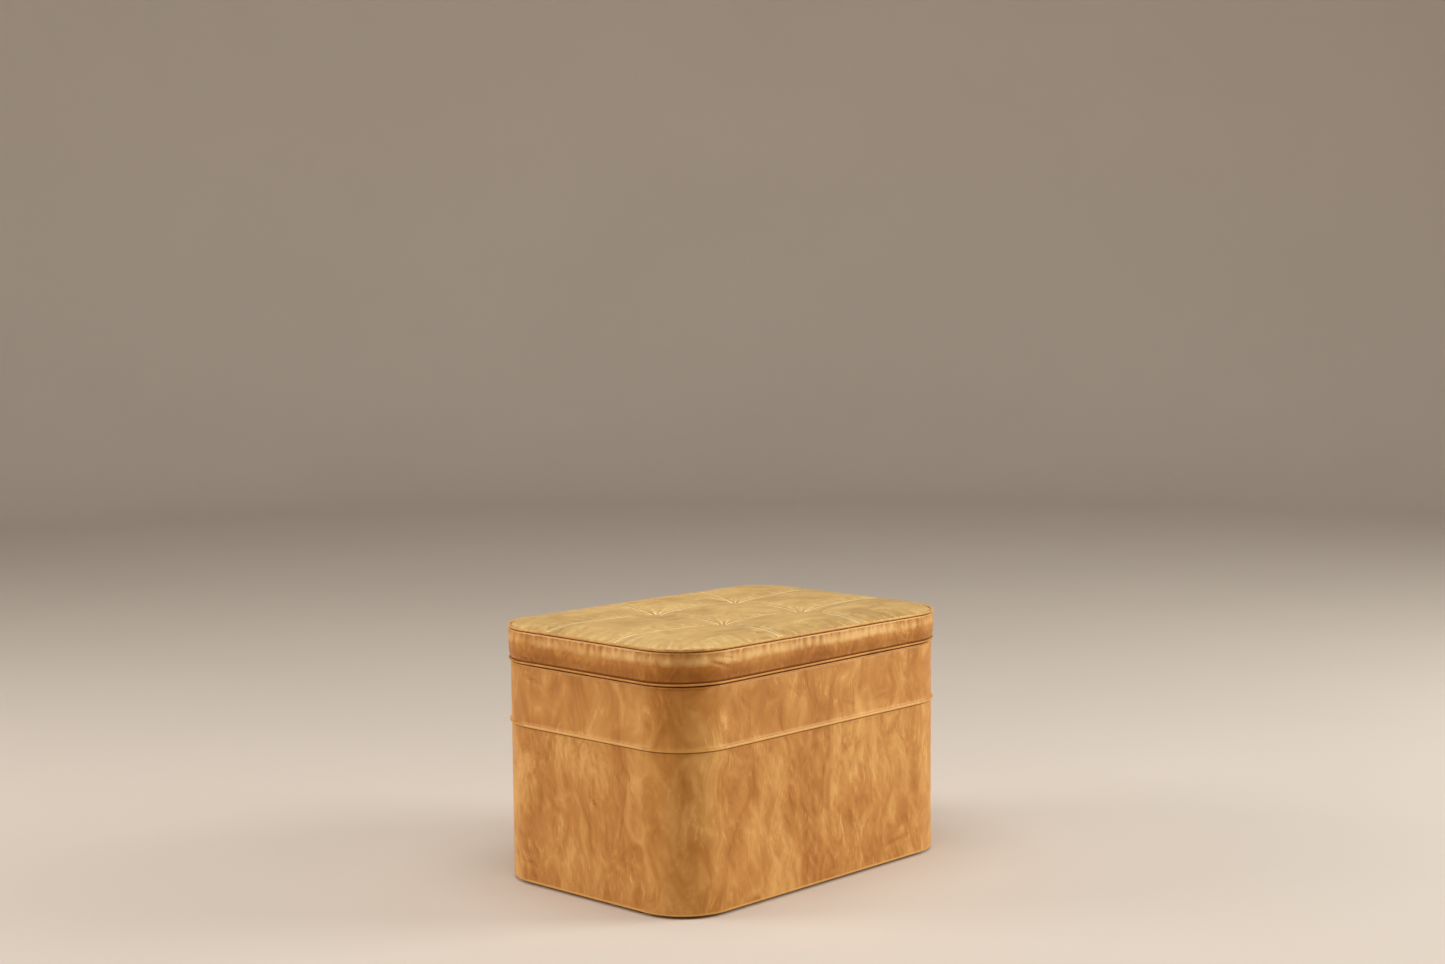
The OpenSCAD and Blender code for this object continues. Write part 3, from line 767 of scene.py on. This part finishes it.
lining_cloth = cloth_finish("lining_cloth")
cloth_t = 0.5 * MM
cloth_pitch = 9 * MM
strip_pitch = 7 * MM
join_x, join_half, join_t = 0.02, 10 * MM, 0.7 * MM
lining_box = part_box("wall_lining")
lining_reach = reach_of("wall_lining")
strip = climb(lining_reach - 0.8 * MM, lining_box[0].z, lining_box[1].z, strip_pitch)
bm = wall(strip, strip_pitch, towards="in")


def lie_of_lining(co):
    lap = join_t / (1 + math.exp((abs(co.x - join_x) - join_half) / MM)) if co.y > 0 else 0
    return -lap - 0.35 * MM * (1 + ripple(co, 16, 7))


push(bm, lie_of_lining)
lay_out(bm, upright=True)
wall_cloth = show(bm, "wall_lining_cloth", lining_cloth)
thicken(wall_cloth, cloth_t)
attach(wall_cloth, "box")
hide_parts("wall_lining")


floor_reach = reach_of("floor_lining") - 1.2 * MM
bm = level_sheet(floor_reach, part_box("floor_lining")[1].z, cloth_pitch)
for vert in bm.verts:
    vert.co.z += 0.25 * MM * ripple(vert.co, 25, 25)
lay_out(bm, upright=False)
floor_cloth = show(bm, "floor_lining_cloth", lining_cloth)
thicken(floor_cloth, cloth_t)
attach(floor_cloth, "box")
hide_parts("floor_lining")


# ---- Dust cloth and glides under the bottom ----
# A thin black non-woven cloth closes the underside, over the stapled edge of the hide. Four
# round nylon glides are knocked into the bottom board through it and carry the box.

dust_finish = cloth_finish("dust_cloth", Warp=tone(44, 44, 46), Weft=tone(38, 38, 40), Threads=700.0)
dust_t = 0.35 * MM
dust_sag = 0.2 * MM
edge_hold = 60 * MM
dust_reach = reach_of("dust_cloth")
bm = level_sheet(dust_reach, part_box("dust_cloth")[1].z - 0.1 * MM, cloth_pitch)
for vert in bm.verts:
    from_edge = dust_reach + min(core_x - abs(vert.co.x), core_y - abs(vert.co.y))
    vert.co.z -= dust_sag * clip(from_edge / edge_hold) * (0.5 + ripple(vert.co, 22, 22))
bmesh.ops.reverse_faces(bm, faces=bm.faces)
lay_out(bm, upright=False)
dust_cloth = show(bm, "dust_cloth_sheet", dust_finish)
thicken(dust_cloth, dust_t, offset=0)
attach(dust_cloth, "box")
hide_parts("dust_cloth")

moulded, given, out = effect("moulded", Body=tone(60, 60, 62), Scuff=tone(120, 120, 120), Gloss=0.45)
tree = moulded
where = own_place(tree)
rub = spots(tree, where, 160, 5, 0.65, 1.0)
give(
    tree, out, Colour=mixed(tree, spread(tree, rub, 0.55, 0.75, 0, 0.5), given["Body"], given["Scuff"]),
    Roughness=maths(tree, "ADD", given["Gloss"], spread(tree, rub, 0.3, 0.7, -0.08, 0.12)),
    Height=spots(tree, where, 1400, 2),
)

glide_finish, tree, shader = material("nylon_glide", Specular_IOR_Level=0.45)
use(tree, shader, moulded, 0.0001, Body=tone(70, 66, 62), Scuff=tone(132, 126, 118), Gloss=0.42)
coat(glide_finish, *[f"glide_{corner}" for corner in corners])


# ---- Hinges, lid stays and their screws ----
# Two zinc plated five knuckle hinges join the rear rail to the lid board. A slotted steel arm
# at each end hangs from a bracket under the lid and slides over a stud on the end rail.

plating, given, out = effect(
    "plating", Place=(0, 0, 0), Bright=tone(206, 208, 212), Dull=tone(150, 152, 156), Polish=0.28
)
tree = plating
bloom = spots(tree, given["Place"], 120, 4, 0.6, 1.2)
drawn = place(tree, "Mapping", Vector=given["Place"], Scale=(1, 0.06, 1)).outputs["Vector"]
lines = spots(tree, drawn, 2200, 2)
worn = spread(tree, maths(tree, "MULTIPLY", bloom, lines), 0.15, 0.4, -0.06, 0.16)
give(
    tree, out, Colour=mixed(tree, spread(tree, bloom, 0.4, 0.66), given["Bright"], given["Dull"]),
    Roughness=maths(tree, "ADD", given["Polish"], worn), Height=lines,
)


def metal_finish(name, **values):
    made, tree, shader = material(name, Metallic=1.0)
    use(tree, shader, plating, 0.00003, Place=own_place(tree), **values)
    return made


hands = ("left", "right")
zinc = metal_finish("zinc_plate")
coat(zinc, *[f"hinge_{hand}_{leaf}_leaf" for hand in hands for leaf in ("base", "lid")])
coat(zinc, *[f"stay_{hand}_{part}" for hand in hands for part in ("plate", "bracket", "arm")])
coat(
    metal_finish("yellow_zinc_screw", Bright=tone(214, 196, 140), Dull=tone(160, 140, 90), Polish=0.24),
    "hinge_base_screws", "hinge_lid_screws", "stay_plate_screws", "stay_bracket_screws",
)
coat(
    metal_finish("bare_steel", Bright=tone(176, 176, 178), Dull=tone(122, 120, 118), Polish=0.2),
    *[f"hinge_{hand}_pin" for hand in hands], *[f"stay_{hand}_rivet" for hand in hands],
)


# ---- Bumpers between rim and lid ----
# Four small discs of moulded black rubber, glued into the hide of the rim near its corners,
# carry the closed lid and keep it off the hide.

rubber, tree, shader = material("bumper_rubber", Specular_IOR_Level=0.35)
use(tree, shader, moulded, 0.0001, Body=tone(24, 24, 25), Scuff=tone(70, 70, 70), Gloss=0.7)
coat(rubber, "lid_bumpers")


# ---- Foam of the lid ----
# A cut block of polyurethane foam, 40 mm thick, lies on the lid board. Four cords through the
# board pull it down into soft hollows, with seams of the cover pressing shallow channels.

cords_low, cords_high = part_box("tuft_cords")
cord_r = 1 * MM
tuft_xs = (cords_low.x + cord_r, cords_high.x - cord_r)
tuft_ys = (cords_low.y + cord_r, cords_high.y - cord_r)
cross_seam_ends = ((-0.095, -0.057), (0.078, 0.143))
long_seam_ends = ((-0.062, -0.063), (0.074, 0.071))
crown_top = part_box("top_cover")[1].z
pad_reach = reach_of("top_cover")
pad_edge_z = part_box("top_welt")[0].z + 2.6 * MM
pad_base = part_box("lid_board")[1].z
seam_sink = 2.4 * MM
tuft_sink = 7.4 * MM
tuft_r = 2 * MM
edge_rise_reach, tuft_reach, swell_reach = 20 * MM, 40 * MM, 24 * MM
pad_tilt = 3.2 * MM


def settle(bm, base):
    """Lets the padding lie a little higher at its left end than at its right, as it does after years."""
    for vert in bm.verts:
        share = clip((vert.co.z - base) / (pad_edge_z - base))
        vert.co.z -= pad_tilt * share * vert.co.x / (core_x + pad_reach)


def between(value, points):
    """Straight lines through (place, value) points."""
    for (a, first), (b, second) in zip(points, points[1:]):
        if value <= b or b == points[-1][0]:
            share = (value - a) / (b - a)
            return first + (second - first) * share


def seams_at(spot, half, tufts, ends, lines):
    """How far out two like seams lie, at a spot on their way from edge to tuft to tuft to edge."""
    return [
        between(spot, [(-half, start), (tufts[0], line), (tufts[1], line), (half, end)])
        for (start, end), line in zip(ends, lines)
    ]


def cross_seams(y):
    """Where the two seams that run front to back lie, at a distance y from the middle."""
    return seams_at(y, core_y + pad_reach, tuft_ys, cross_seam_ends, tuft_xs)


def long_seams(x):
    """Where the two seams that run along the lid lie, at a distance x from the middle."""
    return seams_at(x, core_x + pad_reach, tuft_xs, long_seam_ends, tuft_ys)


def tuft_gap(x, y):
    return min(math.hypot(x - tx, y - ty) for tx in tuft_xs for ty in tuft_ys)


def edge_gap(x, y):
    """How far inside the edge of the padded top a point is."""
    dx, dy = abs(x) - core_x, abs(y) - core_y
    return pad_reach - math.hypot(max(dx, 0), max(dy, 0)) - min(max(dx, dy), 0)


def seam_height(x, y):
    """Height of the cover along its seams: low at the edge and drawn down at each tuft."""
    from_edge = max(0, edge_gap(x, y))
    rise = (crown_top - seam_sink - pad_edge_z) * (1 - math.exp(-from_edge / edge_rise_reach))
    gap = math.hypot(tuft_gap(x, y), tuft_r) - tuft_r
    return pad_edge_z + rise - tuft_sink * math.exp(-gap / tuft_reach)


def panel_swell(x, y):
    """How far the padding stands above the seams, fullest in the middle of a panel."""
    gaps = [abs(x - seam) for seam in cross_seams(y)] + [abs(y - seam) for seam in long_seams(x)]
    gap = min(gaps + [max(0, edge_gap(x, y))])
    return seam_sink * (1 - math.exp(-gap / swell_reach))


def quilt(reach, columns, rows):
    """The plan of the padded top as a grid, with one line of the grid along each seam."""
    half_x, half_y = core_x + reach, core_y + reach
    seam_columns = [round((x + half_x) / (2 * half_x) * columns) for x in tuft_xs]
    seam_rows = [round((y + half_y) / (2 * half_y) * rows) for y in tuft_ys]
    bm = bmesh.new()
    bmesh.ops.create_grid(bm, x_segments=columns, y_segments=rows, size=0.5)
    seam = bm.verts.layers.float.new("seam")
    for vert in bm.verts:
        column = round((vert.co.x + 0.5) * columns)
        row = round((vert.co.y + 0.5) * rows)
        x_stops = [-half_x, *cross_seams(2 * half_y * vert.co.y), half_x]
        x = between(column, list(zip([0, *seam_columns, columns], x_stops)))
        y_stops = [-half_y, *long_seams(x), half_y]
        y = between(row, list(zip([0, *seam_rows, rows], y_stops)))
        vert.co = round_corners(x, y, reach, 0)
        vert[seam] = 1.0 if column in seam_columns or row in seam_rows else 0.0
    return bm


def pad_block(reach, bottom, drop):
    """A block with the quilted top, drop below the cover, and its open lower edge."""
    bm = quilt(reach, 96, 64)
    for vert in bm.verts:
        vert.co.z = seam_height(vert.co.x, vert.co.y) + panel_swell(vert.co.x, vert.co.y) - drop
    rim, verts = draw_out(bm, [edge for edge in bm.edges if edge.is_boundary])
    for vert in verts:
        vert.co.z = bottom
    return bm, rim


foam_finish, tree, shader = material("cut_foam", Sheen_Weight=0.1)
use(tree, shader, fleece, 0.0008, Fibre=tone(240, 226, 170), Shadow=tone(206, 184, 120), Tuft_Scale=900.0)
foam_reach = reach_of("lid_foam")
foam_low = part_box("lid_foam")[0].z
foam_drop = 6.2 * MM
bm, rim = pad_block(foam_reach - 1.2 * MM, foam_low, foam_drop)
bmesh.ops.contextual_create(bm, geom=rim)
settle(bm, pad_base)
bmesh.ops.recalc_face_normals(bm, faces=bm.faces)
foam = show(bm, "foam_block", foam_finish)
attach(foam, "lid")
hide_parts("lid_foam")


# ---- Wadding over the foam ----
# The same polyester wadding as on the sides is drawn over the foam and down its edges, and
# glued to the edge of the lid board.

wadding_drop = 3.3 * MM
bm, rim = pad_block(foam_reach + 1.2 * MM, foam_low, wadding_drop)
settle(bm, pad_base)
bmesh.ops.recalc_face_normals(bm, faces=bm.faces)
if max(bm.faces, key=lambda face: face.calc_center_median().z).normal.z < 0:
    bmesh.ops.reverse_faces(bm, faces=bm.faces)
lid_wadding = show(bm, "lid_wadding_layer", wadding_finish)
thicken(lid_wadding, wadding_t)
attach(lid_wadding, "lid")
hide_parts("lid_wadding")


# ---- Top cover ----
# Nine pieces of hide are sewn together with narrow raised seams and stretched over the
# wadding. Pulled down at the four tufts and at the welt, it puffs up between them.

# The top's hide has lighter, yellower colours than the sides: painted light from above and painted sheen over
# the hide's own colour. Its ridge colour paints a highlight along the raised seams, and its fold colour
# paints shade beside them.
top_hide_painted_light = hide_finish(
    "camel_hide_top_painted_light", Light=tone(218, 182, 120), Middle=tone(202, 164, 102), Dark=tone(180, 141, 84),
    Ridge=tone(252, 224, 166), Fold=tone(158, 116, 62), Draw=(0.6, 1, 1), Smear_Scale=30.0, Contrast=1.3,
)


def swell(obj, held, pressure, frames, give_way):
    """Blows the hide up from below, held at its seams and edge, and keeps the shape it takes."""
    group = obj.vertex_groups.new(name="held")
    group.add(held, 1.0, "ADD")
    cloth = obj.modifiers.new("cloth", "CLOTH")
    cloth.settings.vertex_group_mass = "held"
    cloth.settings.quality = 6
    cloth.settings.mass = 0.4
    cloth.settings.tension_stiffness = 20
    cloth.settings.compression_stiffness = 20
    cloth.settings.shear_stiffness = 8
    cloth.settings.bending_stiffness = 3
    cloth.settings.use_pressure = True
    cloth.settings.uniform_pressure_force = pressure
    cloth.settings.shrink_min = -give_way
    cloth.settings.effector_weights.gravity = 0
    cloth.collision_settings.use_collision = False
    cloth.collision_settings.use_self_collision = False
    cloth.point_cache.frame_start = 1
    cloth.point_cache.frame_end = frames
    for number in range(1, frames + 1):
        bpy.context.scene.frame_set(number)
    blown = bpy.data.meshes.new_from_object(obj.evaluated_get(bpy.context.evaluated_depsgraph_get()))
    shape = [vert.co.copy() for vert in blown.vertices]
    bpy.data.meshes.remove(blown)
    obj.modifiers.remove(cloth)
    obj.vertex_groups.remove(group)
    bpy.context.scene.frame_set(1)
    return shape


top_reach = pad_reach - 0.1 * MM
most_lift = 2.4 * MM
bm = quilt(top_reach, 120, 82)
seam = bm.verts.layers.float["seam"]
for vert in bm.verts:
    vert.co.z = seam_height(vert.co.x, vert.co.y) + 0.5 * panel_swell(vert.co.x, vert.co.y)
held = [vert.index for vert in bm.verts if vert.is_boundary or vert[seam] > 0.5]
top_cover = show(bm, "quilted_top", top_hide_painted_light)
start = [vert.co.copy() for vert in top_cover.data.vertices]
blown = swell(top_cover, held, pressure=3.0, frames=20, give_way=0.006)
for vert, before, after in zip(top_cover.data.vertices, start, blown):
    step = after - before
    vert.co = before + step * min(1, most_lift / max(step.length, 1e-9))

smooth = top_cover.modifiers.new("smooth", "SUBSURF")
smooth.levels = 1
smooth.render_levels = 1
fine = bpy.data.meshes.new_from_object(top_cover.evaluated_get(bpy.context.evaluated_depsgraph_get()))
top_cover.modifiers.remove(smooth)
bm = bmesh.new()
bm.from_mesh(fine)
bpy.data.meshes.remove(fine)
seam = bm.verts.layers.float["seam"]
seam_proud, stitch_dip = 1.5 * MM, 0.35 * MM
tuft_pull, tuft_pull_reach = 1.0 * MM, 34 * MM
pucker_height, pucker_reach = 1.2 * MM, 13 * MM
drift_height = 0.4 * MM


def dress_top(co, on_seam):
    """Height added to the cover: its seams, the pulls at the tufts, and puckers along the welt."""
    raised = seam_proud * max(0, on_seam - 0.45) - stitch_dip * min(1, 2 * on_seam)
    for tx in tuft_xs:
        for ty in tuft_ys:
            away = math.hypot(co.x - tx, co.y - ty)
            bearing = math.atan2(co.y - ty, co.x - tx)
            rays = Vector((math.cos(bearing) * 4.5, math.sin(bearing) * 4.5, away * 14 + 20 * tx))
            raised += tuft_pull * noise.noise(rays) * math.exp(-away / tuft_pull_reach) * min(1, away / 0.006)
    core, out = outward(co)
    on_welt = core + out * top_reach
    from_edge = edge_gap(co.x, co.y)
    strong = 0.55 + 0.8 * max(0, ripple(on_welt, 9, seed=3) + 0.3)
    pucker = strong * ripple(on_welt, 105, seed=20 * from_edge)
    raised += pucker_height * pucker * math.exp(-from_edge / pucker_reach) * min(1, from_edge / 0.003)
    drift = noise.fractal(Vector((co.x * 24, co.y * 44, 2)), 1.0, 2.0, 3)
    return raised + drift_height * drift * min(1, from_edge / 0.02)


for vert in bm.verts:
    vert.co.z += dress_top(vert.co, vert[seam])
settle(bm, pad_base)
mark_creases(bm, 6)
bm.to_mesh(top_cover.data)
bm.free()
top_cover.data.shade_smooth()
thicken(top_cover, hide_t)
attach(top_cover, "lid")
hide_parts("top_cover")


# ---- Upper welt ----
# A cord covered in a strip of hide is sewn between the top and the boxing band. Stretched over the cord, the
# hide shows lighter than the rest, and its lighter colour is also a painted highlight along the rounded cord.

# Lighter than the side hide: real pull-up over the cord and a painted highlight.
welt_hide = hide_finish(
    "camel_hide_welt", Light=tone(236, 190, 118), Middle=tone(216, 164, 94), Dark=tone(186, 130, 66),
    Smear_Scale=60.0, bump=0.0003,
)


def welt(reach, z, radius, sides):
    turns = [2 * math.pi * i / sides for i in range(sides)]
    bm = wall([(reach + radius * math.cos(a), z + radius * math.sin(a)) for a in turns], 4 * MM, closed=True)
    for vert in bm.verts:
        core, out = outward(vert.co)
        on_line = core + out * reach
        middle = on_line + Vector((0, 0, z))
        gathered = (vert.co - middle) * (1 + 0.08 * ripple(on_line, 160, seed=1))
        vert.co = middle + gathered + Vector((0, 0, 0.35 * MM * ripple(on_line, 12, seed=5)))
    return bm


top_welt_r = 1.8 * MM
top_welt_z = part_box("top_welt")[1].z - 0.2 * MM - top_welt_r
lid_reach = reach_of("top_welt")
bm = welt(lid_reach - top_welt_r, top_welt_z, top_welt_r, 14)
settle(bm, pad_base)
mark_creases(bm, 0.3)
upper_welt = show(bm, "upper_welt", welt_hide)
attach(upper_welt, "lid")
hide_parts("top_welt")


# ---- Boxing band ----
# A strip of hide between the two welts covers the edge of the padding. It bulges over the
# wadding, puckers along both seams, and is turned under the lid board and stapled there.

# The band's hide is darker than the sides' as painted shade; its ridge colour is the painted highlight on its
# upper part, and its fold colour is painted shade.
band_hide_painted_shade_and_highlight = hide_finish(
    "camel_hide_band_painted_shade_and_highlight", Light=tone(214, 152, 76), Middle=tone(192, 124, 54), Dark=tone(166, 98, 36),
    Smear_Scale=40.0, Draw=(1, 1, 0.7), Contrast=1.2, Ridge=tone(244, 198, 130), Fold=tone(122, 62, 12),
)
band_pitch = 3.4 * MM
low_welt_bottom, low_welt_top = [corner.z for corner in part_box("bottom_welt")]
band_reach = lid_reach - 2.8 * MM
band_low = low_welt_top + 0.3 * MM
band_high = top_welt_z - top_welt_r - 0.5 * MM
margin_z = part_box("boxing_band")[0].z
# Points in mm, inwards from the edge of the lid and upwards: the stapled margin from its own
# height, and the fold at the lower welt from the lower end of the band.
margin_inset = [(30, 0), (18, 0), (6.5, 0), (4.8, 0.5)]
seam_inset = [(4.4, -1.2), (4.0, -0.1), (2.6, 0.2)]
profile = [(lid_reach - inset * MM, margin_z + up * MM) for inset, up in margin_inset]
profile += [(lid_reach - inset * MM, band_low + up * MM) for inset, up in seam_inset]
profile += climb(band_reach, band_low + 0.8 * MM, band_high - 1.6 * MM, 1.9 * MM)
profile += [(band_reach - 1.1 * MM, band_high - 0.8 * MM), (lid_reach - 5.4 * MM, band_high + 0.4 * MM)]
bm = wall(profile, band_pitch)
band_creases = [
    ((-266, -196, 362), (-196, -203, 340), 2.8, 2.6),
    ((-240, -201, 362), (-180, -203, 350), 2, 2.4),
    ((-256, -198, 350), (-222, -202, 330), 2.2, 2.4),
    ((-282, -184, 336), (-226, -203, 328), 2.4, 2.6),
    ((-293, 158, 331), (-294, 92, 328), 2.4, 2.6),
    ((150, -202, 356), (190, -204, 340), 1.4, 2.6),
    ((292, 20, 334), (294, 70, 350), 1.6, 2.6),
    ((-40, 202, 358), (10, 204, 340), 1.6, 2.6),
]


def up_band(co):
    """0 at the lower seam of the band, 1 at the upper one."""
    return (co.z - band_low) / (band_high - band_low)


def lie_of_band(co):
    share = up_band(co)
    if not 0 < share < 1:
        return 0
    core, out = outward(co)
    on_lid = core + out * lid_reach + Vector((0, 0, co.z))
    fullness = 1.8 + 0.7 * ripple(on_lid, 9, seed=2)
    bulge = fullness * math.sin(math.pi * share ** 0.85) ** 0.9 + 1.4 * (share - 0.5)
    fine_pucker = ripple(on_lid, 130, 22)
    wide_pucker = ripple(on_lid, 48, 16, 4)
    high = hump(share, 1, 0.34) * min(1, (1 - share) / 0.05)
    low = hump(share, 0, 0.22) * min(1, share / 0.05)
    puckers = (0.8 * fine_pucker + 0.9 * wide_pucker) * high + 0.4 * (fine_pucker + wide_pucker) * low
    drag = 0.35 * noise.fractal(co * 50, 1.0, 2.0, 3)
    return (bulge + puckers + drag) * MM - pinched(co, band_creases)


push(bm, lie_of_band)
mark_creases(bm, 4.5, band_pitch)
# Painted light on the band: a painted highlight along its upper part, where it bulges towards the lamp over
# it, broken into patches; painted shade low on it; and -1, painted shade, right under the upper welt and at
# the lower seam.
layer = bm.verts.layers.float["crease_and_shading"]
for vert in bm.verts:
    share = up_band(vert.co)
    highlight_level = 0.70 + 0.06 * ripple(vert.co, 14, seed=6)
    highlight_patches = 0.75 + 0.9 * ripple(vert.co, 9, seed=3) + 0.7 * ripple(vert.co, 110, 25)
    painted_highlight = 0.47 * max(0, highlight_patches) * hump(share, highlight_level, 0.22 if share > highlight_level else 0.15)
    shade = 0.28 * hump(share, 0.2, 0.22)
    vert[layer] = clip(vert[layer] + painted_highlight - shade, -1) if 0.02 <= share <= 0.97 else -1
settle(bm, band_low)
cut_for_leaves(bm, leaf_depth, margin_z - MM, low_welt_top - 1.6 * MM)
band = show(bm, "boxing_strip", band_hide_painted_shade_and_highlight)
thicken(band, pared_t)
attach(band, "lid")
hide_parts("boxing_band")


# ---- Lower welt ----
# A thinner cord, covered in a strip of the same hide, finishes the lower edge of the band. It
# is left out behind the hinges, so that their knuckles have room.

low_welt_r = 1.5 * MM
low_welt_reach = reach_of("bottom_welt") - 0.8 * MM - low_welt_r
bm = welt(low_welt_reach, low_welt_top - 0.2 * MM - low_welt_r, low_welt_r, 12)
cut_for_leaves(bm, 0, low_welt_bottom - MM, low_welt_top + MM)
bmesh.ops.holes_fill(bm, edges=[edge for edge in bm.edges if edge.is_boundary])
mark_creases(bm, 0.3)
lower_welt = show(bm, "lower_welt", rim_hide)
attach(lower_welt, "lid")
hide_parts("bottom_welt")


# ---- Lining under the lid ----
# A sheet of the black cotton cloth, its edges turned in, is stapled under the lid board over
# the margin of the boxing band. It is cut out round the hinge leaves.

lid_lining_reach = reach_of("lid_lining")
lid_lining_low, lid_lining_high = [corner.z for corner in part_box("lid_lining")]
bm = level_sheet(lid_lining_reach, lid_lining_low + 0.05 * MM, 8 * MM)
bmesh.ops.reverse_faces(bm, faces=bm.faces)
cut_for_leaves(bm, leaf_depth, lid_lining_low - MM, lid_lining_high + MM)
lay_out(bm, upright=False)
lid_cloth = show(bm, "lid_lining_cloth", lining_cloth)
thicken(lid_cloth, cloth_t)
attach(lid_cloth, "lid")
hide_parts("lid_lining")


# ---- Tuft cords and washers ----
# A waxed cord from each tuft goes down through the foam and the board, and is knotted under a
# zinc washer on the underside.

cord_finish, tree, shader = material("waxed_cord", Specular_IOR_Level=0.4)
strand = place(
    tree, "TexWave", {"bands_direction": "Z"}, Vector=own_place(tree), Scale=260, Distortion=1.5
).outputs["Fac"]
wire(
    tree, shader, Base_Color=mixed(tree, strand, tone(150, 116, 72), tone(214, 186, 138)),
    Roughness=spread(tree, strand, 0, 1, 0.7, 0.5),
)
coat(cord_finish, "tuft_cords")
coat(zinc, "tuft_washers")
